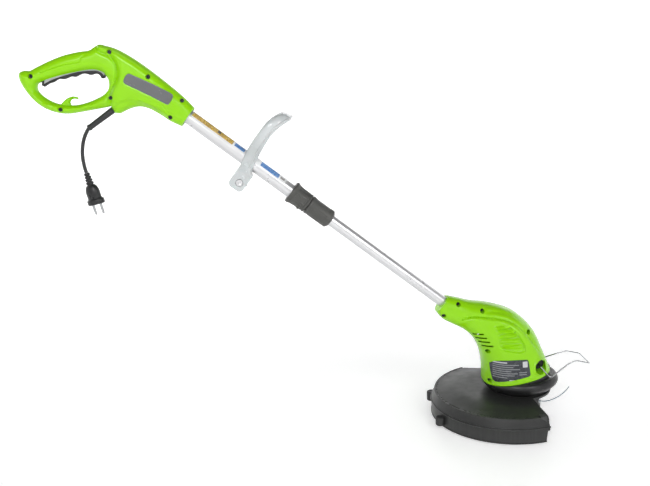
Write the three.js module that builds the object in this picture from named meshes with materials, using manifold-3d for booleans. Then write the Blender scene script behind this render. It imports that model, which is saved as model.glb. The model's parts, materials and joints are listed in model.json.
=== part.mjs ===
// Corded string trimmer: loop handle with a bar trigger, telescopic shaft with a twist lock and
// an assist handle, and an inclined motor head with a guard, an edge guide and a bump-feed spool.
// Millimetres, +Z up, +X from the grip towards the cutting head. The tool is in its working
// posture with the shaft drawn out, and the origin is the middle of the rear grip.
import * as THREE from "three";
import { mergeVertices } from "three/addons/utils/BufferGeometryUtils.js";
import Module from "manifold-3d";

const wasm = await Module();
wasm.setup();

// ---------------------------------------------------------------- driving dimensions
const gap = 0.3; // between pieces that touch
const shaftTilt = 39.6; // degrees that the shaft falls below level
const gripCentre = [-245, -60]; // along and above the shaft's axis, from the handle's mouth
const headPlace = [803, 0, -701]; // foot of the spool's axis, on the guard's bottom plane

const upperTubeRadius = 13;
const upperTubeBore = 11.8;
const upperTubeEnds = [-70, 246];
const lowerTubeRadius = 10.5;
const lowerTubeBore = 9.5;
const lowerTubeEnds = [150, 612];

const loopHalfWidth = 17; // rear loop and grip
const bodyHalfWidth = 23; // handle body in front of the loop
const handleWall = 3;
const screwShank = 2.2;
const screwHead = 3.3;

const guardRadius = 147;
const guardOffset = -17; // guard's centre behind the spool's axis
const guardPlateTop = 49.7;
const spoolRadius = 48;
const motorBaseTop = 79.4; // top of the base's rounded rim
const seamRear = [-65, 68.5]; // the housing meets the base on a plane that rises towards the front
const seamFront = [63.5, 91];
const housingWall = 2.6;
const wireRadius = 1.25;
const cordRadius = 3.3;

// ---------------------------------------------------------------- materials
function material(color, roughness, metalness = 0) {
  return new THREE.MeshStandardMaterial({ color, roughness, metalness });
}
const green = material(0x7cc910, 0.38);
const charcoal = material(0x3a3c3b, 0.55);
const black = material(0x1c1d1e, 0.6);
const rubber = material(0x202122, 0.75);
const frosted = material(0xc6ced0, 0.4);
const badgeGrey = material(0x6d7072, 0.4);
const stickerBlue = material(0x2c6fb5, 0.35);
const aluminium = material(0xc4c7ca, 0.35, 0.9);
const steel = material(0xa9adb1, 0.3, 1);
const darkSteel = material(0x4c4f52, 0.45, 1);
const copper = material(0xb0663a, 0.35, 1);
const carbon = material(0x2a2a2c, 0.8);
const lineTeal = material(0x2a6f86, 0.4);
const whitePlastic = material(0xdad8cf, 0.5);

// ---------------------------------------------------------------- solids
// Turns a geometry into a solid: shared vertices merged, empty triangles dropped, faces outwards.
function solidOf(geometry) {
  const bare = new THREE.BufferGeometry();
  bare.setAttribute("position", geometry.attributes.position);
  bare.setIndex(geometry.index);
  const merged = mergeVertices(bare, 1e-3);
  const corners = merged.index.array;
  const kept = [];
  for (let i = 0; i < corners.length; i += 3) {
    const [a, b, c] = [corners[i], corners[i + 1], corners[i + 2]];
    if (a !== b && b !== c && c !== a) kept.push(a, b, c);
  }
  const vertProperties = new Float32Array(merged.attributes.position.array);
  const build = () => {
    const triVerts = new Uint32Array(kept);
    return new wasm.Manifold(new wasm.Mesh({ numProp: 3, vertProperties, triVerts }));
  };
  const solid = build();
  if (solid.volume() > 0) return solid;
  kept.reverse();
  return build();
}

function geometryOf(solid) {
  const mesh = solid.getMesh();
  const geometry = new THREE.BufferGeometry();
  geometry.setAttribute("position", new THREE.BufferAttribute(new Float32Array(mesh.vertProperties), 3));
  geometry.setIndex(new THREE.BufferAttribute(new Uint32Array(mesh.triVerts), 1));
  geometry.computeVertexNormals();
  return geometry;
}

function piece(parent, name, solid, look) {
  const mesh = new THREE.Mesh(geometryOf(solid), look);
  mesh.name = name;
  parent.add(mesh);
  return mesh;
}

function joined(first, ...others) {
  return others.reduce((whole, other) => whole.add(other), first);
}

function cut(first, ...others) {
  return others.reduce((whole, other) => whole.subtract(other), first);
}

// A box given by its low and high corners.
function box(low, high) {
  const size = high.map((value, i) => value - low[i]);
  const geometry = new THREE.BoxGeometry(...size);
  geometry.translate(low[0] + size[0] / 2, low[1] + size[1] / 2, low[2] + size[2] / 2);
  return solidOf(geometry);
}

// Swings a geometry made along +Z so that it lies along the given axis.
function laid(geometry, axis) {
  if (axis === "x") geometry.rotateY(Math.PI / 2);
  if (axis === "y") geometry.rotateX(-Math.PI / 2);
  return geometry;
}

// A turned piece: [radius, height] points around the axis. A bored one closes on its first point.
function turned(profile, { axis = "z", at = [0, 0, 0], sides = 16 } = {}) {
  const points = profile.map(([radius, height]) => new THREE.Vector2(radius, height));
  const geometry = new THREE.LatheGeometry(points, sides);
  geometry.rotateX(Math.PI / 2);
  laid(geometry, axis);
  geometry.translate(...at);
  return solidOf(geometry);
}

function ring(inner, outer, low, high, options) {
  const profile = [[inner, low], [outer, low], [outer, high], [inner, high], [inner, low]];
  return turned(profile, options);
}

function rod(radius, low, high, options) {
  return turned([[0, low], [radius, low], [radius, high], [0, high]], options);
}

// An outline as a shape. Each entry is a corner, or a list of points that a smooth curve runs through.
function outline(entries, holes = []) {
  const shape = new THREE.Shape();
  shape.moveTo(...entries[0]);
  for (const entry of entries.slice(1)) {
    if (Array.isArray(entry[0])) shape.splineThru(entry.map(([x, y]) => new THREE.Vector2(x, y)));
    else shape.lineTo(...entry);
  }
  shape.closePath();
  for (const hole of holes) {
    const curve = new THREE.SplineCurve(hole.map(([x, y]) => new THREE.Vector2(x, y)));
    shape.holes.push(new THREE.Path(curve.getPoints(hole.length)));
  }
  return shape;
}

// A shape pulled out to both sides of its plane, with its edges chamfered.
function slab(shape, halfWidth, chamfer = 0, curveSegments = 1) {
  const geometry = new THREE.ExtrudeGeometry(shape, {
    depth: 2 * (halfWidth - chamfer),
    bevelEnabled: chamfer > 0,
    bevelThickness: chamfer,
    bevelSize: chamfer,
    bevelOffset: -chamfer,
    bevelSegments: 1,
    curveSegments,
  });
  geometry.translate(0, 0, chamfer - halfWidth);
  return geometry;
}

// A side view (x, z) pulled out along Y.
function sideSlab(shape, halfWidth, chamfer, curveSegments) {
  const geometry = slab(shape, halfWidth, chamfer, curveSegments);
  geometry.rotateX(Math.PI / 2);
  return solidOf(geometry);
}

// A plan view (x, y) pulled up between two heights.
function planSlab(shape, low, high) {
  const geometry = slab(shape, (high - low) / 2);
  geometry.translate(0, 0, (low + high) / 2);
  return solidOf(geometry);
}

// A round bar along a smooth curve through the points. It has an even number of sides.
function bar(points, radius, { sides = 8, steps = 24, tension = 0.5 } = {}) {
  const stops = points.map((point) => new THREE.Vector3(...point));
  const path = new THREE.CatmullRomCurve3(stops, false, "catmullrom", tension);
  return alongCurve(path, radius, sides, steps);
}

function alongCurve(path, radius, sides, steps) {
  const section = new THREE.Shape();
  section.absarc(0, 0, radius, 0, 2 * Math.PI);
  const geometry = new THREE.ExtrudeGeometry(section, {
    steps,
    curveSegments: sides / 2,
    extrudePath: path,
    bevelEnabled: false,
  });
  return solidOf(geometry);
}

// A bent wire with a ring of corners at each of its points, square to the wire there.
function bentWire(points, radius, sides) {
  const stops = points.map((point) => new THREE.Vector3(...point));
  const positions = [];
  const faces = [];
  let across = new THREE.Vector3(0, 0, 1);
  stops.forEach((stop, row) => {
    const before = stops[Math.max(row - 1, 0)];
    const after = stops[Math.min(row + 1, stops.length - 1)];
    const ahead = after.clone().sub(before).normalize();
    across = across.clone().addScaledVector(ahead, -across.dot(ahead)).normalize();
    const third = ahead.clone().cross(across);
    for (let i = 0; i < sides; i += 1) {
      const angle = (2 * Math.PI * i) / sides;
      const corner = stop.clone().addScaledVector(across, radius * Math.cos(angle));
      positions.push(...corner.addScaledVector(third, radius * Math.sin(angle)).toArray());
      if (row === 0) continue;
      const next = (i + 1) % sides;
      const [a, b] = [row * sides + i, row * sides + next];
      faces.push(a, b, a - sides, b, b - sides, a - sides);
    }
  });
  const last = (stops.length - 1) * sides;
  for (let i = 1; i < sides - 1; i += 1) faces.push(0, i, i + 1, last, last + i + 1, last + i);
  const geometry = new THREE.BufferGeometry();
  geometry.setAttribute("position", new THREE.Float32BufferAttribute(positions, 3));
  geometry.setIndex(faces);
  return solidOf(geometry);
}

// A coil spring standing along +Z.
class Helix extends THREE.Curve {
  constructor(radius, height, turns) {
    super();
    Object.assign(this, { radius, height, turns });
  }

  getPoint(t, target = new THREE.Vector3()) {
    const angle = 2 * Math.PI * this.turns * t;
    return target.set(this.radius * Math.cos(angle), this.radius * Math.sin(angle), this.height * t);
  }
}

function springMesh(parent, name, { radius, wire, height, turns, at, leanDegrees = 0 }) {
  const coil = alongCurve(new Helix(radius, height, turns), wire, 4, turns * 7);
  const mesh = piece(parent, name, coil, steel);
  mesh.position.set(...at);
  mesh.rotation.y = THREE.MathUtils.degToRad(leanDegrees);
  return mesh;
}

// Right half (y < 0) or left half (y > 0) of a two-shell casing.
function half(solid, side) {
  const far = 500;
  const low = side === "right" ? [-1500, -far, -1000] : [-1500, gap / 2, -1000];
  const high = side === "right" ? [1500, -gap / 2, 1000] : [1500, far, 1000];
  return solid.intersect(box(low, high));
}

// ---------------------------------------------------------------- casing screws
// A casing screw runs along +Y from a recessed head in the right shell into the left shell.
const screwReach = 10; // how far the tip goes into the left shell

function screwHole({ at: [x, z], seat }) {
  const bore = rod(screwShank + gap, -seat - 1, screwReach + 1, { axis: "y", at: [x, 0, z], sides: 8 });
  const recess = rod(screwHead + gap, -60, -seat, { axis: "y", at: [x, 0, z], sides: 8 });
  return bore.add(recess);
}

function screwSolid({ at: [x, z], seat }) {
  const profile = [
    [0, -seat - 2.6],
    [screwHead, -seat - 2.6],
    [screwHead, -seat - gap],
    [screwShank, -seat - gap],
    [screwShank, screwReach],
    [0, screwReach],
  ];
  return turned(profile, { axis: "y", at: [x, 0, z], sides: 8 });
}

function boss({ at: [x, z] }, reach) {
  return rod(4.8, -reach, reach, { axis: "y", at: [x, 0, z], sides: 8 });
}

// ---------------------------------------------------------------- rear handle
// Side view in the shaft's frame: x along the shaft from the handle's mouth, z above its axis.
const handleSide = [
  [-18, 19],
  [[-40, 23], [-70, 25.5], [-110, 27], [-150, 26.5], [-185, 22], [-206, 14.5]],
  [-215, 10.5],
  [-219.5, 0],
  [-222, -9],
  [[-237, -23], [-253, -42], [-266, -62], [-277, -82], [-285, -98]],
  [-292, -103],
  [-297.5, -110],
  [-297, -117],
  [[-288, -125], [-272, -132.5], [-252, -138], [-230, -138.5], [-208, -132], [-190, -121],
    [-172, -103], [-155, -85], [-142, -71], [-138, -66]],
  [-126, -72],
  [-118, -67],
  [[-109, -50], [-97, -36.5], [-81, -29.5], [-60, -26.5], [-40, -25.5]],
  [-18, -21],
];
const loopOpening = [
  [-262, -111], [-256, -99], [-240, -77], [-222, -56], [-205, -38], [-193, -29], [-181, -25.5],
  [-170, -29], [-162, -37], [-158.5, -46], [-160, -57], [-166, -70], [-176, -86], [-188, -100],
  [-204, -112], [-222, -120], [-240, -122.5], [-255, -120], [-262, -111],
];
const handleBodySide = [
  [-18, 19],
  [[-40, 23], [-70, 25.5], [-110, 27], [-150, 26.5], [-185, 22], [-206, 14.5]],
  [-215, 10.5],
  [-217, 2],
  [[-208, -5], [-190, -4], [-172, -9], [-159, -20], [-152, -34], [-149, -50], [-143, -62]],
  [-138, -66],
  [-126, -72],
  [-118, -67],
  [[-109, -50], [-97, -36.5], [-81, -29.5], [-60, -26.5], [-40, -25.5]],
  [-18, -21],
];
const gripCavitySide = [
  [-196, 12],
  [[-206, 6], [-214, -8], [-234, -27], [-249, -45], [-262, -65], [-273, -85]],
  [-280, -97],
  [-272, -105],
  [-265, -103],
  [[-259, -97], [-243, -74.5], [-225, -53.5], [-207, -35], [-194, -25], [-181, -21.5], [-166, -26]],
  [-150, -20],
];
const bodyCavitySide = [
  [-78, 20],
  [[-110, 23], [-150, 22.5], [-184, 18], [-204, 11.5]],
  [-211, 4],
  [[-206, -1], [-190, 0], [-170, -5], [-155, -17], [-148, -32], [-145, -50]],
  [-140, -60],
  [-121, -60],
  [[-105, -42], [-94, -31], [-78, -25]],
];
// A small hook inside the loop that holds a bight of the extension lead.
const leadHookSide = [
  [-212, -121],
  [[-210, -107], [-207, -98.5], [-202, -92], [-196, -88.8]],
  [-191.5, -88.5],
  [[-193, -91.5], [-197.5, -94], [-200.5, -98.5], [-199.5, -103.5]],
  [-191, -110],
];
const leadHookHalfWidth = 6;
const triggerSlotSide = [[-264, -94], [-258.5, -111], [-240, -100], [-170.5, -37], [-169, -24],
  [-180, -15], [-215, -30], [-250, -62]];
const handleScrews = [
  { at: [-276, -104], seat: 11 },
  { at: [-204, -122], seat: 11 },
  { at: [-189, 12], seat: 16 },
  { at: [-144.5, -52], seat: 16 },
  { at: [-112, 17], seat: 16 },
  { at: [-42, 18.4], seat: 14 },
  { at: [-42, -18.6], seat: 14 },
];
const triggerPivot = [-264, -89];
const trigger = { halfWidth: 5.5, slotHalfWidth: 6.2, stubRadius: 2.4, stubReach: 12 };
const cordExit = [-132, -69]; // middle of the strain relief's mouth in the shells
const cordExitTurn = 197.7; // degrees from +Z to the strain relief's direction, about +Y
const strainRelief = { length: 51, root: 5.3, tip: 4.6, neck: 13, flange: 7.2, flangeThickness: 3 };
const triggerSwitch = { low: [-206, -12], high: [-184, 5], halfWidth: 8 };

// Anything made along +Z from the shells' mouth out along the strain relief.
function alongCordExit(profile, sides) {
  const points = profile.map(([radius, height]) => new THREE.Vector2(radius, height));
  const geometry = new THREE.LatheGeometry(points, sides);
  geometry.rotateX(Math.PI / 2);
  geometry.rotateY(THREE.MathUtils.degToRad(cordExitTurn));
  geometry.translate(cordExit[0], 0, cordExit[1]);
  return solidOf(geometry);
}

function handleCasing() {
  const loop = sideSlab(outline(handleSide, [loopOpening]), loopHalfWidth, 5);
  const body = sideSlab(outline(handleBodySide), bodyHalfWidth, 5);
  const gripCavity = sideSlab(outline(gripCavitySide), loopHalfWidth - handleWall, 0);
  const bodyCavity = sideSlab(outline(bodyCavitySide), bodyHalfWidth - handleWall, 0);
  const [switchLow, switchHigh] = [triggerSwitch.low, triggerSwitch.high];
  const switchRib = box(
    [switchLow[0] + 3, -bodyHalfWidth + 1, switchLow[1] + 2],
    [switchHigh[0] - 3, bodyHalfWidth - 1, switchHigh[1] - 2],
  );
  const switchSeat = box(
    [switchLow[0] - 5, -triggerSwitch.halfWidth - gap, switchLow[1] - 8],
    [switchHigh[0] + 5, triggerSwitch.halfWidth + gap, switchHigh[1] + 5],
  );
  const pivotBoss = rod(5, -loopHalfWidth + 1, loopHalfWidth - 1, {
    axis: "y",
    at: [triggerPivot[0], 0, triggerPivot[1]],
    sides: 14,
  });
  const betweenPivots = rod(8, -8, 8, { axis: "y", at: [triggerPivot[0], 0, triggerPivot[1]], sides: 14 });
  const pivotHole = rod(trigger.stubRadius + gap, -trigger.stubReach - gap, trigger.stubReach + gap, {
    axis: "y",
    at: [triggerPivot[0], 0, triggerPivot[1]],
    sides: 14,
  });
  const cordHoleRadius = strainRelief.root + gap;
  const cordHole = alongCordExit([[0, -25], [cordHoleRadius, -25], [cordHoleRadius, 5], [0, 5]], 16);
  const tubeBore = rod(upperTubeRadius + gap, upperTubeEnds[0] - gap, 10, { axis: "x", sides: 24 });
  const hook = sideSlab(outline(leadHookSide), leadHookHalfWidth, 0);
  let casing = cut(joined(loop, body, hook), gripCavity, bodyCavity);
  const bosses = handleScrews.map((screw) => {
    const inLoop = screw.seat < 12;
    return boss(screw, (inLoop ? loopHalfWidth : bodyHalfWidth) - 1);
  });
  casing = joined(casing, cut(switchRib, switchSeat), pivotBoss, ...bosses);
  casing = cut(casing, betweenPivots, pivotHole, cordHole, tubeBore);
  casing = cut(casing, sideSlab(outline(triggerSlotSide), trigger.slotHalfWidth, 0));
  return cut(casing, ...handleScrews.map((screw) => screwHole(screw)));
}

function triggerSolid() {
  const side = outline([
    [-269, -90],
    [[-267, -85], [-261, -82], [-252, -75]],
    [[-240, -59], [-222, -40.5], [-206, -27], [-194, -20], [-182, -18]],
    [-176, -23],
    [-174, -32],
    [[-178, -35], [-184, -33], [-190, -34.5], [-196, -42], [-203, -44.5], [-210, -50], [-215, -60],
      [-222, -64.5], [-229, -75], [-237, -81], [-241, -91], [-246, -97], [-250, -107]],
    [-255, -108],
    [-259, -101],
    [-266, -94],
  ]);
  const stub = rod(trigger.stubRadius, -trigger.stubReach, trigger.stubReach, {
    axis: "y",
    at: [triggerPivot[0], 0, triggerPivot[1]],
    sides: 12,
  });
  return joined(sideSlab(side, trigger.halfWidth, 1), stub);
}

function strainReliefSolid() {
  const { length, root, tip, neck, flange, flangeThickness } = strainRelief;
  const bottom = -neck - flangeThickness;
  const profile = [[0, bottom], [flange, bottom], [flange, -neck], [root, -neck], [root, 3]];
  const ribs = 4;
  for (let i = 0; i < ribs; i += 1) {
    const start = 6 + (i * (length - 10)) / ribs;
    const radius = root + ((tip - root) * start) / length;
    const groove = radius - 0.9;
    profile.push([radius, start], [radius, start + 5], [groove, start + 5.6], [groove, start + 7]);
  }
  profile.push([tip, length - 1], [tip - 0.6, length], [0, length]);
  return alongCordExit(profile, 10);
}

function buildHandle(frame) {
  const casing = handleCasing();
  piece(frame, "handle_shell_right", half(casing, "right"), green);
  piece(frame, "handle_shell_left", half(casing, "left"), green);
  handleScrews.forEach((screw, i) => piece(frame, `handle_screw_${i + 1}`, screwSolid(screw), darkSteel));

  piece(frame, "trigger", triggerSolid(), charcoal);
  springMesh(frame, "trigger_spring", {
    radius: 3.4, wire: 0.6, height: 15, turns: 5, at: [-231, 0, -48.2], leanDegrees: -42,
  });

  const { low, high, halfWidth } = triggerSwitch;
  const switchCase = box([low[0], -halfWidth, low[1]], [high[0], halfWidth, high[1]]);
  const plunger = box([-198, -2.5, low[1] - 2.6], [-193, 2.5, low[1] + 1]);
  piece(frame, "trigger_switch", switchCase.add(plunger), black);

  piece(frame, "strain_relief", strainReliefSolid(), rubber);

  // The badge is a plain plate sunk into the right side of the body.
  const badge = outline([
    [-142.5, -12.5], [-143.5, -5], [-137, 3], [-66, 17], [-58, 14.5], [-56.5, 2], [-61, -3.2], [-136, -16.5],
  ]);
  const plate = slab(badge, 0.6);
  plate.rotateX(Math.PI / 2);
  plate.translate(0, -bodyHalfWidth - gap - 0.6, 0);
  piece(frame, "badge_plate", solidOf(plate), badgeGrey);
}

// ---------------------------------------------------------------- mains lead and plug
// The lead's route in the part's own frame, from the strain relief's tip to the plug's boot.
const leadRoute = [
  [34.6, 0, -108.8], [31, 0, -113.5], [26.5, 0, -121], [22.6, 0, -130], [19.8, 0, -140],
  [18, 0, -150], [17.4, 0, -160], [17.8, 0, -170], [19, 0, -180], [20.8, 0, -188.6],
];
const plug = {
  lean: 168, // degrees from +Z to the plug's direction, about +Y
  turn: 30, // degrees that the pins are turned about the plug's own axis
  bootLength: 23,
  bodyLength: 36,
  flangeHalfWidth: 18,
  pinRadius: 2.4,
  pinLength: 19,
  pinSpacing: 19,
};

function buildLead(frame) {
  piece(frame, "mains_cord", bar(leadRoute, cordRadius, { sides: 8, steps: 14 }), rubber);

  const holder = new THREE.Group();
  holder.position.set(20.8 + 0.06, 0, -188.6 - gap);
  holder.rotation.y = THREE.MathUtils.degToRad(plug.lean);
  const turnedHolder = new THREE.Group();
  turnedHolder.rotation.z = THREE.MathUtils.degToRad(plug.turn);
  holder.add(turnedHolder);
  frame.add(holder);

  const { bootLength, bodyLength, flangeHalfWidth, pinRadius, pinLength, pinSpacing } = plug;
  const bootProfile = [[0, 0], [4.4, 0]];
  for (let i = 0; i < 3; i += 1) {
    const start = 1 + i * 7;
    const radius = 5.2 + i * 0.6;
    const groove = radius - 1;
    bootProfile.push([radius, start], [radius, start + 4.5], [groove, start + 5], [groove, start + 6.5]);
  }
  bootProfile.push([7, bootLength], [7, bootLength + 6], [0, bootLength + 6]);
  const boot = turned(bootProfile, { sides: 10 });
  const faceHeight = bodyLength + bootLength;
  const bodyProfile = [
    [0, bootLength], [9, bootLength], [12.5, bootLength + 5], [14.5, bootLength + 13],
    [14.5, bootLength + 24],
    [flangeHalfWidth, bootLength + 27], [flangeHalfWidth, faceHeight - 1.5],
    [flangeHalfWidth - 1.5, faceHeight], [0, faceHeight],
  ];
  const points = bodyProfile.map(([radius, height]) => new THREE.Vector2(radius, height));
  const bodyGeometry = new THREE.LatheGeometry(points, 16);
  bodyGeometry.rotateX(Math.PI / 2);
  bodyGeometry.scale(1, 0.68, 1);
  let plugBody = boot.add(solidOf(bodyGeometry));
  const socketDepth = 5;
  for (const [name, x] of [["plug_pin_a", -pinSpacing / 2], ["plug_pin_b", pinSpacing / 2]]) {
    const socketFloor = faceHeight - socketDepth;
    plugBody = cut(plugBody, rod(pinRadius + gap, socketFloor, faceHeight + 1, { at: [x, 0, 0], sides: 12 }));
    const tip = faceHeight + pinLength;
    const pinStart = socketFloor + gap;
    const pinProfile = [[0, pinStart], [pinRadius, pinStart], [pinRadius, tip - 1.5], [1.2, tip], [0, tip]];
    piece(turnedHolder, name, turned(pinProfile, { at: [x, 0, 0], sides: 12 }), steel);
  }
  piece(turnedHolder, "plug_body", plugBody, black);
}

// ---------------------------------------------------------------- telescopic shaft and twist lock
function buildShaft(frame) {
  const alongShaft = { axis: "x", sides: 18 };
  piece(frame, "upper_tube", ring(upperTubeBore, upperTubeRadius, ...upperTubeEnds, alongShaft), aluminium);
  piece(frame, "lower_tube", ring(lowerTubeBore, lowerTubeRadius, ...lowerTubeEnds, alongShaft), aluminium);

  // The coiled lead fills the upper tube, and the lower tube slides over it.
  const coilRadius = 7.5;
  const coil = rod(coilRadius, upperTubeEnds[0] + 2, lowerTubeEnds[0] - 2, { axis: "x", sides: 12 });
  const straightLead = rod(cordRadius, lowerTubeEnds[0] + 1, lowerTubeEnds[1] + 3, { axis: "x", sides: 10 });
  piece(frame, "coiled_lead", coil, rubber);
  piece(frame, "shaft_lead", straightLead, rubber);

  // The sticker wraps the upper half of the tube.
  const stickerRing = ring(upperTubeRadius + gap, upperTubeRadius + 2 * gap, -14, 190, alongShaft);
  const upperHalf = box([-20, -20, 2], [200, 20, 20]);
  piece(frame, "tube_sticker", stickerRing.intersect(upperHalf), stickerBlue);

  const collarProfile = [
    [upperTubeRadius + gap, 209], [20, 209], [21.2, 211], [21.2, 214], [18.6, 222], [17.8, 234], [18.6, 243],
    [18.6, 248], [15.6, 248], [15.6, 268], [11.4, 268], [11.4, 246.4], [upperTubeRadius + gap, 246.4],
    [upperTubeRadius + gap, 209],
  ];
  piece(frame, "lock_collar", turned(collarProfile, alongShaft), black);
  const sleeveProfile = [
    [16, 249], [18.2, 249], [18.2, 254], [17.2, 256], [17.2, 292], [15.4, 300], [11.2, 300], [11.2, 295],
    [14.6, 288], [14.6, 270], [16, 268.6], [16, 249],
  ];
  piece(frame, "lock_sleeve", turned(sleeveProfile, alongShaft), black);
  const colletProfile = [
    [10.8, 269.5], [14.2, 269.5], [14.2, 286], [11.6, 292.5], [10.8, 292.5], [10.8, 269.5],
  ];
  const collet = turned(colletProfile, alongShaft);
  piece(frame, "lock_collet", cut(collet, box([260, -1, 0], [300, 1, 20])), whitePlastic);
}

// ---------------------------------------------------------------- assist handle
// A closed loop across the shaft. Its lugs below the tube are pulled together by a bolt.
const assistStation = 109; // along the shaft, at the loop's middle
const lugStation = 121.5; // along the shaft, at the middle of the lugs
const clampBolt = { x: 123.5, z: -42, radius: 3 };

function assistOutline() {
  const mirrored = (points) => points.map(([x, y]) => [-x, y]).reverse();
  const limb = [[17, -14], [18.5, -4], [19.5, 8], [29, 20], [44, 36], [53, 54], [56, 72], [53.5, 90],
    [45, 102], [30, 109]];
  const openingSide = [[12, 23.5], [23, 31], [36, 44], [43, 60], [44.5, 74], [41, 88], [31, 97], [15, 100]];
  const opening = [[0, 22], ...openingSide, [0, 100.5], ...mirrored(openingSide), [0, 22]];
  const lug = [[1.5, -57], [11, -57], [11, -24]];
  const leftSide = [[...mirrored(limb), [-11, -24]], ...mirrored(lug).slice(1)];
  return outline([...lug, [...limb, [0, 111]], ...leftSide], [opening]);
}

function buildAssistHandle(frame) {
  const depth = 20;
  const geometry = slab(assistOutline(), depth / 2, 3.5, 1);
  geometry.rotateX(Math.PI / 2);
  geometry.rotateZ(Math.PI / 2);
  const place = geometry.attributes.position;
  for (let i = 0; i < place.count; i += 1) {
    const rise = place.getZ(i) - 60;
    const lean = (rise > 0 ? 0.006 : 0.0016) * rise * rise;
    // The loop thickens towards the shaft, and the lugs under the shaft are broad and straight.
    const swell = 1.05 + 0.15 * Math.min(1, Math.max(0, -rise / 40));
    const onLug = place.getZ(i) < -20;
    const middle = onLug ? lugStation : assistStation + lean;
    place.setX(i, middle + place.getX(i) * (onLug ? 1.5 : swell));
  }
  const tubeBore = rod(upperTubeRadius + 3 * gap, 50, 180, { axis: "x", sides: 24 });
  const slot = box([60, -1.5, -80], [180, 1.5, 0]);
  const boltAt = [clampBolt.x, 0, clampBolt.z];
  const boltHole = rod(clampBolt.radius + gap, -30, 30, { axis: "y", at: boltAt, sides: 12 });
  const headRecess = rod(6.8, -30, -8.5, { axis: "y", at: boltAt, sides: 16 });
  const loop = cut(solidOf(geometry), tubeBore, slot, boltHole, headRecess);
  piece(frame, "assist_handle", loop, frosted);

  const { radius } = clampBolt;
  const boltProfile = [[0, -12], [6.2, -12], [6.2, -8.5 - gap], [radius, -8.5 - gap], [radius, 22], [0, 22]];
  piece(frame, "clamp_bolt", turned(boltProfile, { axis: "y", at: boltAt, sides: 16 }), steel);

  // The star knob screws onto the bolt on the left side.
  const knobShape = new THREE.Shape();
  const lobes = 5;
  for (let i = 0; i < lobes * 4; i += 1) {
    const angle = (i * 2 * Math.PI) / (lobes * 4);
    const reach = 12.5 + 2 * Math.cos(lobes * angle);
    const point = [reach * Math.cos(angle), reach * Math.sin(angle)];
    if (i === 0) knobShape.moveTo(...point);
    else knobShape.lineTo(...point);
  }
  const knob = slab(knobShape, 6.5, 1.5);
  knob.rotateX(Math.PI / 2);
  knob.translate(boltAt[0], 17.8, boltAt[2]);
  const thread = rod(radius + gap, 0, 40, { axis: "y", at: boltAt, sides: 12 });
  piece(frame, "clamp_knob", cut(solidOf(knob), thread), black);
}

// ---------------------------------------------------------------- motor housing
// From here on the head's own frame is used: upright, with its origin at the foot of the spool's axis.
// Stations of the housing: lower rear point, upper front point (x, z), and half depth.
const housingStations = [
  [-154, 213.5, -131, 241, 20],
  [-142, 198.5, -111, 236, 24],
  [-123, 187, -88, 229, 28],
  [-103, 176, -55, 223, 34],
  [-86, 160, -16, 210, 43],
  [-75, 141, 12, 190, 50],
  [-69, 122, 33, 164, 55],
  [-66, 103, 46, 134, 58.5],
  [-65.3, 89, 57, 107, 61],
  [seamRear[0], seamRear[1] + gap, seamFront[0], seamFront[1] + gap, 62],
];
const sectionPoints = 16;
const sectionPower = 2.3; // a little squarer than an ellipse
const housingScrews = [
  { at: [-113.5, 228], seat: 10 },
  { at: [-141, 207], seat: 10 },
  { at: [-70, 215], seat: 16 },
  { at: [15, 171], seat: 16 },
  { at: [-62, 138], seat: 20 },
  { at: [-57, 78], seat: 22 },
];
const pivotPlace = { x: 35, z: 105, floor: 40, pocket: 12 };
const motorHeights = { statorLow: 98, statorHigh: 138, bracketLow: 141.8, bracketHigh: 156, topBearing: 159 };
const statorRadius = 31;
const motorShaftRadius = 4;
const bearing = { inner: motorShaftRadius + gap, outer: 8, height: 6 };

// A smooth tapering body through the stations, its skin moved in by inset.
function housingLoft(stations, inset) {
  const positions = [];
  for (const [lowX, lowZ, highX, highZ, depth] of stations) {
    const reach = Math.hypot(highX - lowX, highZ - lowZ) / 2;
    const along = [(highX - lowX) / (2 * reach), (highZ - lowZ) / (2 * reach)];
    const middle = [(lowX + highX) / 2, (lowZ + highZ) / 2];
    for (let i = 0; i < sectionPoints; i += 1) {
      const angle = (2 * Math.PI * i) / sectionPoints;
      const [c, s] = [Math.cos(angle), Math.sin(angle)];
      const shape = (value) => Math.sign(value) * Math.abs(value) ** (2 / sectionPower);
      const u = (reach - inset) * shape(c);
      positions.push(middle[0] + along[0] * u, (depth - inset) * shape(s), middle[1] + along[1] * u);
    }
  }
  const ends = [stations[0], stations[stations.length - 1]];
  for (const [lowX, lowZ, highX, highZ] of ends) positions.push((lowX + highX) / 2, 0, (lowZ + highZ) / 2);
  const faces = [];
  for (let row = 0; row < stations.length - 1; row += 1) {
    for (let i = 0; i < sectionPoints; i += 1) {
      const next = (i + 1) % sectionPoints;
      const [a, b] = [row * sectionPoints + i, row * sectionPoints + next];
      faces.push(a, b, a + sectionPoints, b, b + sectionPoints, a + sectionPoints);
    }
  }
  const last = (stations.length - 1) * sectionPoints;
  const [firstMiddle, lastMiddle] = [stations.length * sectionPoints, stations.length * sectionPoints + 1];
  for (let i = 0; i < sectionPoints; i += 1) {
    const next = (i + 1) % sectionPoints;
    faces.push(firstMiddle, next, i, lastMiddle, last + i, last + next);
  }
  const geometry = new THREE.BufferGeometry();
  geometry.setAttribute("position", new THREE.Float32BufferAttribute(positions, 3));
  geometry.setIndex(faces);
  return solidOf(geometry);
}

// The lower tube's axis seen from the head's frame.
function onShaft(geometry) {
  geometry.rotateY(THREE.MathUtils.degToRad(shaftTilt));
  const shaftStart = shaftOrigin().sub(new THREE.Vector3(...headPlace));
  geometry.translate(shaftStart.x, shaftStart.y, shaftStart.z);
  return solidOf(geometry);
}

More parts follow.
